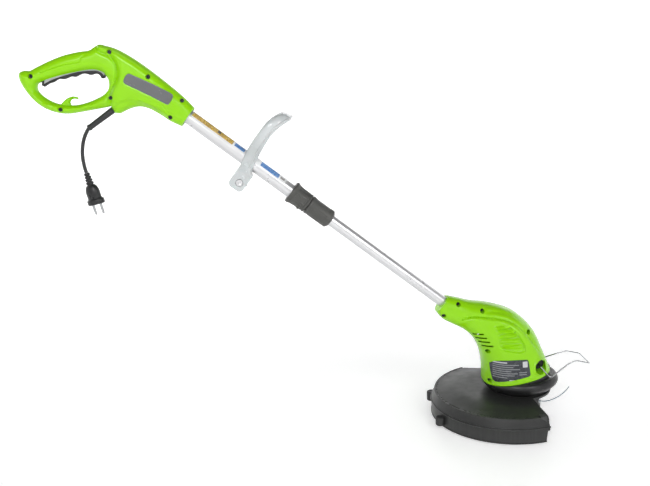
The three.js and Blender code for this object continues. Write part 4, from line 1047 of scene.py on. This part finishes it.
SECTION_POWER = 2.3
PIVOT = (35, 105)
POCKET = (12, 27)  # the pivot pocket's radius, and how far its floor is from the middle
HOUSING_WALL = 2.6
LOWER_TUBE_CLEAR, LOWER_TUBE_END = 10.8, 619
SHIELD = [(-46, 191), [(-31, 190), (-18, 184), (-6.5, 172), (2, 156)], [(5.6, 146), (4.4, 140.4)],
    [(0, 137.4), (-9, 136.6)], [(-24, 139.6), (-38, 143), (-45, 148), (-49, 158), (-50, 176)]]
LABEL = [
    (-59.5, 114.5), [(-52, 120.8), (-38, 123.8), (-15, 125), (3, 124.8)], [(7.6, 123.8), (9.2, 120.6)],
    [(10.8, 108), (12, 97.4)], [(11.2, 94.2), (6.6, 92.2)], [(-10, 88.4), (-32, 83.8)],
    [(-44, 81), (-50.5, 80), (-54.8, 82.6)], [(-57.6, 99)],
]
RIBS = [(-47.5, 185, -27, 186), (-45, 177.2, -17.5, 178), (-42, 169.2, -11.5, 170.6),
    (-40, 160.4, -7, 160.8), (-37, 150.4, -3.5, 149.6)]
SWEEP = [(-117, 196), (-99, 203), (-81, 205), (-63, 203), (-44, 201), (-26, 196), (-9.4, 187), (3, 176),
    (15, 160), (26, 144), (38, 128)]
BROW = [(-66, 213.4), (-44, 211.5), (-23, 205.7), (-2, 197.3), (8, 190.5)]


def build_housing():
    fine = curve_through(STATIONS, 4.0)
    rear, crown = fine[:, 0:2], fine[:, 2:4]
    outer = outline([tuple(p) for p in np.vstack([rear[:1], crown, rear[:0:-1]])], 2.2)
    middles, reaches, depths = (rear + crown) / 2, np.linalg.norm(crown - rear, axis=1) / 2, fine[:, 4]
    directions = (crown - rear) / (2 * reaches)[:, None]
    mouth, ahead = (HEAD.inverted() @ (SHAFT @ Vector((x, 0, 0))) for x in (0, 1))
    tube_start, tube_heading = np.array(mouth.xz), np.array((ahead - mouth).normalized().xz)

    def shell_height(flat):
        """Depth of the smooth loft through the stations at each point of the side view."""
        height = np.zeros(len(flat))
        for low in range(0, len(flat), 2000):
            points = flat[low:low + 2000, None, :] - middles
            off = points[..., 0] * directions[:, 1] - points[..., 1] * directions[:, 0]
            along = (points * directions).sum(2) / reaches
            sign = off > 0
            change = np.abs(np.diff(sign.astype(np.int8), axis=1)) > 0
            ok = change & (np.abs(along[:, :-1]) < 1.25)
            index = np.where(ok.any(1), ok.argmax(1), np.abs(off).argmin(1).clip(0, len(middles) - 2))
            rows = np.arange(len(index))
            first, second = np.abs(off[rows, index]), np.abs(off[rows, index + 1])
            part = np.where(ok.any(1), first / np.maximum(first + second, 1e-9), 0)
            u = along[rows, index] * (1 - part) + along[rows, index + 1] * part
            depth = depths[index] * (1 - part) + depths[index + 1] * part
            u = np.clip(np.abs(u), 0, 1)
            height[low:low + 2000] = depth * (1 - u**SECTION_POWER) ** (1 / SECTION_POWER)
        return height

    shield = outline(SHIELD, 2.0)
    label = outline(LABEL, 2.5)
    slots = {}
    for side, reach in ((-1, 8), (1, 3)):
        slots[side] = []
        for i in range(4):
            x, z = -80 + 5.4 * i, 171.5 - 7.5 * i
            slots[side].append(
                outline([(x - reach, z), (x + 10, z + 2.5), (x + 10, z - 0.5), (x - reach, z - 3)], 2.0))
    sweep = curve_through(SWEEP, 2.0)
    brow = curve_through(BROW, 2.0)
    under_sweep = np.vstack([sweep, [(40, 60), (-120, 60), (-170, 190)]])

    def front(flat, side):
        height = shell_height(flat)
        # The flank stands a little proud of the shoulder, with a valley along the sweep.
        reach = distance(flat, sweep, closed=False)
        ends = eased(flat[:, 0], -122, -104) * (1 - eased(flat[:, 0], 30, 40))
        height += 2.6 * ridge(reach, 9) * inside(flat, under_sweep) * ends * eased(height, 4, 14)
        height -= 2.6 * ridge(reach, 2.2) * ends * eased(height, 4, 14)
        reach = distance(flat, brow, closed=False)
        height -= 2.4 * ridge(reach, 2.0) * eased(flat[:, 0], -68, -56) * eased(height, 4, 12)
        sunk = 3.2 * eased(distance(flat, shield), 0, 2.4) * eased(flat[:, 0], -49, -30)
        height -= np.where(inside(flat, shield), sunk, 0)
        for x1, z1, x2, z2 in RIBS:
            a, b = np.array([x1, z1]), np.array([x2, z2])
            t = np.clip(((flat - a) @ (b - a)) / ((b - a) @ (b - a)), 0, 1)
            away = np.linalg.norm(flat - (a + t[:, None] * (b - a)), axis=1)
            height += 4.0 * ridge(away, 2.5)
        # The bead along the lower rim.
        height += 0.7 * (1 - eased(flat[:, 1] - seam_height(flat[:, 0]), 4, 5.5))
        to_pivot = np.hypot(*(flat - PIVOT).T)
        height += 2.2 * ridge(to_pivot - 14, 1.5)
        height = np.where(to_pivot < POCKET[0], np.minimum(height, POCKET[1]), height)
        if side < 0:
            height = recessed(flat, np.where(inside(flat, label), height - 0.35, height), HOUSING_SCREWS)
        return np.maximum(height, floor_height(flat))

    def floor_height(flat):
        tube, along = bored(flat, tube_start, tube_heading, LOWER_TUBE_CLEAR)
        return np.maximum(tube * (along < LOWER_TUBE_END), GAP)

    def back(flat, side):
        wall = front(flat, side) - HOUSING_WALL
        near_pocket = np.hypot(*(flat - PIVOT).T) < POCKET[0] + 2
        wall = np.where(near_pocket, np.minimum(wall, POCKET[1] - 4), wall)
        # The neck is solid round the tube.
        in_neck = (flat - np.array([-113, 208])) @ tube_heading < 0
        return np.maximum(floor_height(flat), np.where(in_neck, 0, wall))

    pocket = [circle(PIVOT, POCKET[0] + past, count) for past, count in ((0, 40), (-0.25, 40), (1.4, 44))]
    for name, side in (("right", -1), ("left", 1)):
        lines = [*pocket, shield]
        seams = [sweep[1:-3], brow[1:-1]]
        if side < 0:
            lines += [label, *screw_rings(HOUSING_SCREWS, 4.2)]
        body = Body().add(*relief([outer, *slots[side]], lambda f: front(f, side), lambda f: back(f, side),
                2.1, lines=lines, rings=(0.05, 0.2, 0.5, 1.0, 1.8, 3, 4.6, 6.6), open_lines=seams),
            place=side_view(side))
        piece = make(f"housing_half_{name}", body, "green", "motor_unit", HEAD, [f"motor_housing_{name}"],
            sharp=44)
        hole = turned([[0, -200], [1.7, -200], [1.7, 200], [0, 200]], 20)
        carve(piece, Body().add(*hole, place=moved(PIVOT[0], 0, PIVOT[1]) @ ALONG_Y), HEAD, 44)

    # The rating plate follows the housing's skin.
    lift = relief([label], lambda f: front(f, -1) + 0.75, lambda f: front(f, -1) + 0.2, 2.0, (0.3, 0.9))
    plate = make("rating_plate", Body().add(*lift, place=side_view(-1)), "label", "motor_unit", HEAD)
    low, high = label.min(0), label.max(0)
    inverse = HEAD.inverted()
    places = []
    for vertex in plate.data.vertices:
        flat = inverse @ vertex.co
        places.append(((flat.x - low[0]) / (high[0] - low[0]), (flat.z - low[1]) / (high[1] - low[1])))
    add_uvs(plate, places)
    # A black bush at the floor of each pocket carries the wire, and its dark ring is also painted shade deep
    # in the pocket.
    shade_bushes = Body()
    for side in (-1, 1):
        shade_bushes.add(*turned(ring(2.2, 11.4, 26.2, 28.6), 40), place=moved(PIVOT[0], 0, PIVOT[1])
            @ spun(-90 * side, "X"))
    make("edge_guide_bushes_as_shade", shade_bushes, "black", "motor_unit", HEAD, merge=False)


# ---------------------------------------------------------------- motor base, guard and blade
def build_base():
    rim = [[0, 50], [56.4, 50], [57.2, 50.3]]
    rim += smooth_profile([(60, 52.6), (64, 56.6), (68.4, 60.6), (71.8, 64.6), (73.3, 67.8), (73.5, 70),
            (73, 73), (71.6, 76), (69.6, 78.2), (67, 79.4)], 1.2)
    rim += [[0, 79.4]]
    base = make("motor_base_moulded", Body().add(*turned(rim, 128), place=moved(7, 0, 0)), "black",
        "motor_unit", HEAD, ["motor_base"], sharp=30)
    # A collar stands on the rim as far up as the slanting seam under the housing.
    carve(base, turned([[0, 70], [65.4, 70], [65.4, 96], [0, 96]], 128), HEAD, 30, "UNION")
    carve(base, block((-120, 120), (-100, 100), seam_height, 220), HEAD, 30)
    tray = [[14, 60], [57, 60], [57, 130], [14, 130], [14, 60]]
    seat = [[0, 40], [5.5, 40], [5.5, 64], [8.3, 64], [8.3, 71], [14.6, 71], [14.6, 130], [0, 130]]
    carve(base, turned(tray, 96), HEAD, 30)
    carve(base, turned(seat, 64), HEAD, 30)


GUARD_CENTRE = (-17, 0)
GUARD_RADIUS = 147
GUARD_TOP = 49.7
GUARD_WALL = 2.8
BEVEL_START, BEVEL_RUN, BEVEL_DROP = 140.5, 6.2, 17.5
PLATE_FALL = 4.5
HUB_RADIUS = 66
NEAR_CUT_REACH = 40.8  # from the guard's centre forwards to where the near cut meets the rim
# The plate's far cut, from beyond the rim to the hub.
GUARD_FAR_CUT = (-116.0, 139.0), (20.0, 82.0)
# The rim's beads: radius, height and thickness.
UPPER_BEAD, FOOT_BEAD = (146.6, 27.6, 1.5), (147.0, 1.4, 1.2)
FOOT_BEAD_START = 283.4
# Each lug's place round the skirt in degrees, and the height of its top.
LUGS = (156, 23.5), (201, 20.5)


def heading_of(degrees):
    return np.array([math.cos(math.radians(degrees)), math.sin(math.radians(degrees))])


def build_guard():
    centre = np.array(GUARD_CENTRE)

    def on_circle(radius, degrees):
        return centre + radius * heading_of(degrees)

    near_start = -math.degrees(math.acos(NEAR_CUT_REACH / GUARD_RADIUS))
    far = np.array(GUARD_FAR_CUT)
    along = (far[1] - far[0]) / np.linalg.norm(far[1] - far[0])
    # Where the far cut meets the rim.
    offset = far[0] - centre
    middle = offset @ along
    reach = -middle - math.sqrt(middle**2 - (offset @ offset - GUARD_RADIUS**2))
    corner = far[0] + reach * along
    corner_angle = math.degrees(math.atan2(corner[1], corner[0] - centre[0]))
    rim = [on_circle(GUARD_RADIUS, a) for a in np.linspace(360 + near_start, corner_angle, 150)]
    hub_angles = np.linspace(66, -75, 40)
    hub_disc = [HUB_RADIUS * heading_of(a) for a in hub_angles]
    far_line = list(curve_through([corner, far[1]], 2.5)[1:])
    near_line = []
    teeth = 15
    top = -64.0
    bottom = rim[0][1]
    for i in range(teeth * 2 + 1):
        y = top + (bottom - top) * i / (teeth * 2)
        tooth = 0.9 if i % 2 and y < -100 else 0.0
        reach = np.interp(-y, (50, 72, 93, 122, 144), (13.5, 15.5, 17.7, 22.5, 23.9))
        near_line.append(np.array([float(reach) - tooth, y]))
    loop = np.array(rim + far_line + [np.array([26, 62])] + hub_disc[1:] + near_line[:-1])
    hole = circle((0, 0), 24, 64)

    def level(flat, inset):
        """Height of the guard's skin moved inwards: the plate, the bevel and the top of the skirt."""
        r = np.hypot(*(flat - centre).T) + inset
        plate = GUARD_TOP - 1.3 * inset - PLATE_FALL * eased(r, 85, 140)
        bend = plate - BEVEL_DROP * np.clip((r - BEVEL_START) / BEVEL_RUN, 0, 1)
        return np.where(r > BEVEL_START, bend, plate)

    def front(flat):
        r = np.hypot(*(flat - centre).T)
        angle = np.degrees(np.arctan2(flat[:, 1], flat[:, 0] - centre[0])) % 360
        height = level(flat, 0)
        height = height + 0.7 * ridge(r - 138.6, 1.0) - 0.9 * ridge(r - 136.2, 1.0)
        height -= 0.5 * ridge(r - 121, 0.7) * eased(angle, 225, 232) * (1 - eased(angle, 262, 270))
        height -= 0.5 * ridge(r - 117, 0.7) * eased(angle, 228, 235) * (1 - eased(angle, 260, 268))
        return np.where(np.hypot(*flat.T) < HUB_RADIUS, np.minimum(height, GUARD_TOP), height)

    def back(flat):
        r = np.hypot(*(flat - centre).T)
        skirt = r > GUARD_RADIUS - 3
        # The skirt ends a little short of the plate's near cut, in small steps.
        past_end = (flat[:, 0] > 18) & (flat[:, 1] < 0)
        under = level(flat, GUARD_WALL)
        return np.where(skirt, np.where(past_end, under - 3, 0.0), under)

    circles = [
        np.array([on_circle(radius, a) for a in np.linspace(0, 360, 180, endpoint=False)])
        for radius in (GUARD_RADIUS - 2.99, GUARD_RADIUS - 3.01, BEVEL_START, BEVEL_START - GUARD_WALL)
    ]
    rings = (0.6, 2.0)
    body = Body().add(*plan_relief([loop, hole], front, back, 3.0, rings, circles))
    trim = Body()
    # The skirt's upper edge is a fine bead, and its foot is thickened.
    starts = 360 + near_start + 0.4, FOOT_BEAD_START
    for (radius, height, size), start in zip((UPPER_BEAD, FOOT_BEAD), starts):
        end = corner_angle - 0.3
        path = [(*on_circle(radius, a), height) for a in np.linspace(start, end, 120)]
        trim.add(*swept(path, size, 12))
    for degrees, top in LUGS:
        x, y = on_circle(GUARD_RADIUS + 5, degrees)
        lug = [[0, 4.5], [8.0, 4.5], [8.8, 5.3], [8.8, top - 2.3], [8.4, top - 0.9], [7.2, top], [4.6, top],
            [4.2, top - 0.9], [0, top - 0.9]]
        trim.add(*turned(lug, 32), place=moved(x, y, 0))
    # The blade's seat under the plate's near end.
    body.add(*block((8, 18.4), (-139, -127), lambda x: 20, 47))
    make("guard_moulded", body, "charcoal", "motor_unit", HEAD, ["guard"], sharp=10, merge=False)
    make("guard_edge_trim", trim, "charcoal", "motor_unit", HEAD, sharp=30, merge=False)


def plan_relief(loops, front, back, spacing, rings, circles):
    """A relief seen from above, where the guide circles may run off the outline."""
    lines = []
    for line in circles:
        held = inside(line, loops[0]) & (distance(line, loops[0]) > 0.4)
        for stretch in np.split(np.arange(len(line)), np.where(np.diff(held.astype(int)) != 0)[0] + 1):
            if held[stretch[0]] and len(stretch) > 2:
                lines.append(line[stretch])
    return relief(loops, front, back, spacing, rings, open_lines=lines)


def build_blade():
    edge = outline([(-137, 17), (-121, 17), (-117, 26), (-117, 34), (-121, 42), (-130, 42), (-137, 33)], 2.0)
    hole = circle((-133, 30), 2.3, 24)

    def thick(flat):
        bevel = np.clip((flat[:, 0] + 117) / -3.5, 0.06, 1)
        return 19.5 + 0.8 * bevel

    body = Body().add(*relief([edge, hole], thick, at_height(18.7), 1.6, (0.2, 0.6)), place=END_VIEW)
    make("cutter_blade_ground", body, "dark_steel", "motor_unit", HEAD, ["cutter_blade"],
        sharp=25)
    face = 20.6
    screw = [[0, 9], [1.6, 9], [2, 9.6], [2, face], [3.3, face], [3.6, face + 0.4], [3.6, face + 1.6],
        [3, face + 2.3], [1.6, face + 2.4], [1.2, face + 1.2], [0, face + 1.2]]
    make("blade_screw_turned", turned(screw, 32), "dark_steel", "motor_unit", HEAD @ moved(0, -133, 30)
        @ ALONG_X, ["blade_screw"])


# ---------------------------------------------------------------- spool head
def fluted(count, depth, low, high, least):
    def reach(radius, height, angle):
        if radius < least or not low <= height <= high:
            return radius
        return radius - depth * max(0.0, math.cos(count * angle)) ** 4
    return reach


LINE_EXIT_ANGLE = -38
# Name, radius, wire's radius, height, turns, place, body, and the joint that shortens it and by how much.
SPRINGS = (
    ("spool_spring", 11.5, 0.8, 16.4, 4, HEAD @ moved(0, 0, 24.2), "rotor", "bump_slide", 5),
    ("trigger_spring", 3.4, 0.6, 15, 5, SHAFT @ moved(-231, 0, -48.2) @ spun(-42, "Y"), "handle",
     "trigger_pull", 3.8),
)
# The coiled lead: radius of the coil and of the lead, rise per turn, points per turn and in all.
COIL_RADIUS, COIL_THICKNESS, COIL_PITCH, TURN_STEPS, COIL_STEPS = 5.45, 1.85, 5, 20, 865
COIL_START = -68


def helix(radius, rise, count, step):
    """Points of a coil: its radius, the rise and the angle from one point to the next."""
    return [(radius * math.cos(step * i), radius * math.sin(step * i), rise * i) for i in range(count)]


def build_spool_head():
    housing = [[4.3, 27], [8, 27], [8, 41.5], [44.6, 41.5], [44.6, 16.4], [45, 16], [47.4, 16], [48, 16.6],
        [48, 20], [48, 38.4], [47.6, 40.6], [46.8, 42.8], [45.2, 44.6], [43.6, 45.2], [4.8, 45.2],
        [4.3, 44.7], [4.3, 27]]
    piece = make("spool_housing_moulded", turned(housing, 96), "black", "rotor", HEAD, ["spool_housing"],
        sharp=30)
    exit_place = HEAD @ spun(LINE_EXIT_ANGLE, "Z") @ moved(42, 0, 28.5) @ ALONG_X
    carve(piece, turned([[0, 0], [3.4, 0], [3.4, 12], [0, 12]], 32), exit_place, 30)
    eyelet = [[1.7, 1.4], [2.1, 1.0], [3.1, 1.0], [3.1, 5.9], [4.2, 6.1], [4.3, 6.9], [3.4, 7.4],
        [2.2, 7.2], [1.7, 6.6], [1.7, 1.4]]
    make("line_eyelet", turned(eyelet, 32), "steel", "rotor", exit_place)
    cover = [[26.4, 10], [44, 10], [45.6, 10.5], [47.4, 12], [48, 13.6], [48, 15.4], [47.6, 15.7],
        [44.3, 15.7], [44.3, 19], [42.6, 19], [42.6, 13], [26, 13], [26, 10.4], [26.4, 10]]
    make("spool_cover_moulded", turned(cover, 120, fluted(18, 0.7, 10, 15.8, 43.9)), "charcoal", "rotor",
        HEAD, ["spool_cover"], sharp=30)
    knob = [[0, 3.5], [14.4, 3.5]] + smooth_profile([(15.4, 3.7), (19.5, 5), (23, 7), (24.8, 9.4),
            (25.2, 11)], 0.8)
    knob += [[25.2, 13.3], [30.6, 13.3], [31, 13.7], [31, 15.6], [30.6, 16], [25.2, 16], [25.2, 19.7],
        [21, 19.7], [21, 8], [0, 8]]
    make("bump_knob_moulded", turned(knob, 96, fluted(12, 1.2, 5, 13, 19)), "black", "bump_feed", HEAD,
        ["bump_knob"], sharp=34)
    spool = [[8.6, 20.3], [8.9, 20], [41.6, 20], [42, 20.4], [42, 22], [41.6, 22.4], [19, 22.4], [19, 33.6],
        [41.6, 33.6], [42, 34], [42, 35.6], [41.6, 36], [15, 36], [15, 23], [8.6, 23], [8.6, 20.3]]
    make("line_spool_moulded", turned(spool, 80), "charcoal", "bump_feed", HEAD, ["line_spool"])
    wraps = [[19.3, 22.8]]
    layers = 6
    for i in range(layers):
        height = 22.8 + (i + 0.5) * 10.4 / layers
        for k in range(5):
            angle = math.radians(-80 + 40 * k)
            wraps.append([36.7 + 0.85 * math.cos(angle), height + 0.85 * math.sin(angle)])
    wraps += [[19.3, 33.2], [19.3, 22.8]]
    make("wound_line_turns", turned(wraps, 80), "line", "bump_feed", HEAD, ["wound_line"])
    for name, radius, wire, height, turns, place, rides, joint, travel in SPRINGS:
        steps = 28 * turns
        path = helix(radius, height / steps, steps + 1, 2 * math.pi * turns / steps)
        coil = make(f"{name}_coil", swept(path, wire, 10), "steel", rides, place, [name])
        foot, top = place @ Vector((0, 0, 0)), place @ Vector((0, 0, height))
        tuple(top)
        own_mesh(coil)
    # The shaft's lead slides inside this coil as the lower tube goes in.
    path = helix(COIL_RADIUS, COIL_PITCH / TURN_STEPS, COIL_STEPS, 2 * math.pi / TURN_STEPS)
    make("coiled_lead_turns", swept(path, COIL_THICKNESS, 8), "rubber", "handle",
        SHAFT @ moved(COIL_START) @ ALONG_X, ["coiled_lead"])


# ---------------------------------------------------------------- edge guide
# The near half of the wire's route, measured from its pivot: ahead of it, across, and above it.
GUIDE_WIRE = [(0, -25, 0), (0, -45, 0), (0.3, -47.4, -0.4), (1.4, -48.9, -1.8), (3.4, -49.1, -4.4),
    (8, -48.9, -10.3), (14.6, -48.6, -18.8), (16.6, -48.2, -20.7), (18.8, -47.5, -21.8),
    (21.4, -46.5, -21.9), (25, -44.9, -20.8), (40, -38.4, -13.7), (56, -31.5, -6.2), (70, -28.3, -1.5),
    (73, -27.5, -0.7), (76.4, -27.1, -0.6), (80, -27, -1.3), (96, -27, -5.5), (98.6, -26.6, -6.2),
    (100.3, -25.2, -6.6), (101, -22.8, -6.8)]


def build_edge_guide():
    near = [(PIVOT[0] + ahead, y, PIVOT[1] + above) for ahead, y, above in GUIDE_WIRE]
    path = near + [(x, -y, z) for x, y, z in reversed(near)]
    make("edge_guide_wire", swept(curve_through(path, 1.2), 1.25, 14), "steel", "edge_guide", HEAD,
        ["edge_guide"])


# ---------------------------------------------------------------- CAD pieces that stay as they are
KEPT = {
    "shaft_lead": "rubber", "lock_collet": "nylon", "trigger_switch": "black",
    "bearing_lower": "steel", "bearing_upper": "steel", "stator": "laminations", "armature": "copper",
    "commutator": "copper", "brush_right": "carbon", "brush_left": "carbon", "brush_bracket": "black",
    "cooling_fan": "nylon", "motor_shaft": "steel", "arbor_nut": "steel",
}


def dress_kept_nodes():
    for node, look in KEPT.items():
        piece = frame["nodes"][node]
        piece.data.materials.clear()
        piece.data.materials.append(looks[look])


# ---------------------------------------------------------------- studio
FLOOR_GAP = 0.002
PAPER_GLOW = 0.33
ROOM_COLOR, ROOM_GLOW = (0.95, 0.96, 1, 1), 0.12
# Name, place, width, power, and what each light looks at.
LIGHTS = (
    ("left_softbox", (-0.2, -2.5, 0.9), 0.9, 30, (0.45, 0, -0.4)),
    ("right_softbox", (1.7, -1.9, 0.6), 0.9, 14, (0.6, 0, -0.4)),
    ("top_softbox", (0.7, 0.4, 2.3), 1.3, 5, (0.5, 0.1, -0.3)),
    ("left_wall_softbox", (-1.2, 1.5, 1.7), 1.6, 42, (-1.4, 4.6, 0.0)),
    ("right_wall_softbox", (2.0, 1.5, 1.7), 1.6, 42, (2.2, 4.6, 0.0)),
)


def build_studio():
    floor_level = guard_low.z - FLOOR_GAP
    look, tree, shader = new_look("studio_paper")
    tone = mixed(tree, ranged(tree, noise(tree, 3, 2), 0, 1), (0.93, 0.93, 0.93, 1), (0.95, 0.95, 0.947, 1))
    tree.links.new(tone, shader.inputs["Base Color"])
    shader.inputs["Roughness"].default_value = 0.42
    shader.inputs["Emission Color"].default_value = (1, 1, 1, 1)
    shader.inputs["Emission Strength"].default_value = PAPER_GLOW
    profile = [[0, 0], [3200, 0]] + smooth_profile([(3600, 60), (4100, 420), (4350, 1100), (4400, 2600)], 150)
    verts, faces = turned(profile, 96)
    mesh = bpy.data.meshes.new("studio_sweep")
    mesh.from_pydata([Vector((x * MM + 0.4, y * MM, z * MM + floor_level)) for x, y, z in verts], [], faces)
    mesh.shade_smooth()
    mesh.materials.append(look)
    add_object("studio_sweep", mesh)

    for name, place, size, power, aim in LIGHTS:
        data = bpy.data.lights.new(name, "AREA")
        data.shape = "SQUARE"
        data.size = size
        data.energy = power
        facing = (Vector(aim) - Vector(place)).normalized().to_track_quat("-Z", "Y")
        add_object(name, data, Matrix.Translation(place) @ facing.to_matrix().to_4x4())
    world = bpy.data.worlds.new("pale_room")
    world.use_nodes = True
    backdrop = world.node_tree.nodes["Background"]
    backdrop.inputs["Color"].default_value = ROOM_COLOR
    backdrop.inputs["Strength"].default_value = ROOM_GLOW
    bpy.context.scene.world = world
    bpy.context.scene.view_settings.view_transform = "Standard"


set_camera()
build_lead()
build_screws()
build_handle()
build_trigger()
build_shaft()
build_assist_handle()
build_housing()
build_base()
build_guard()
build_blade()
build_spool_head()
build_edge_guide()
dress_kept_nodes()
build_studio()
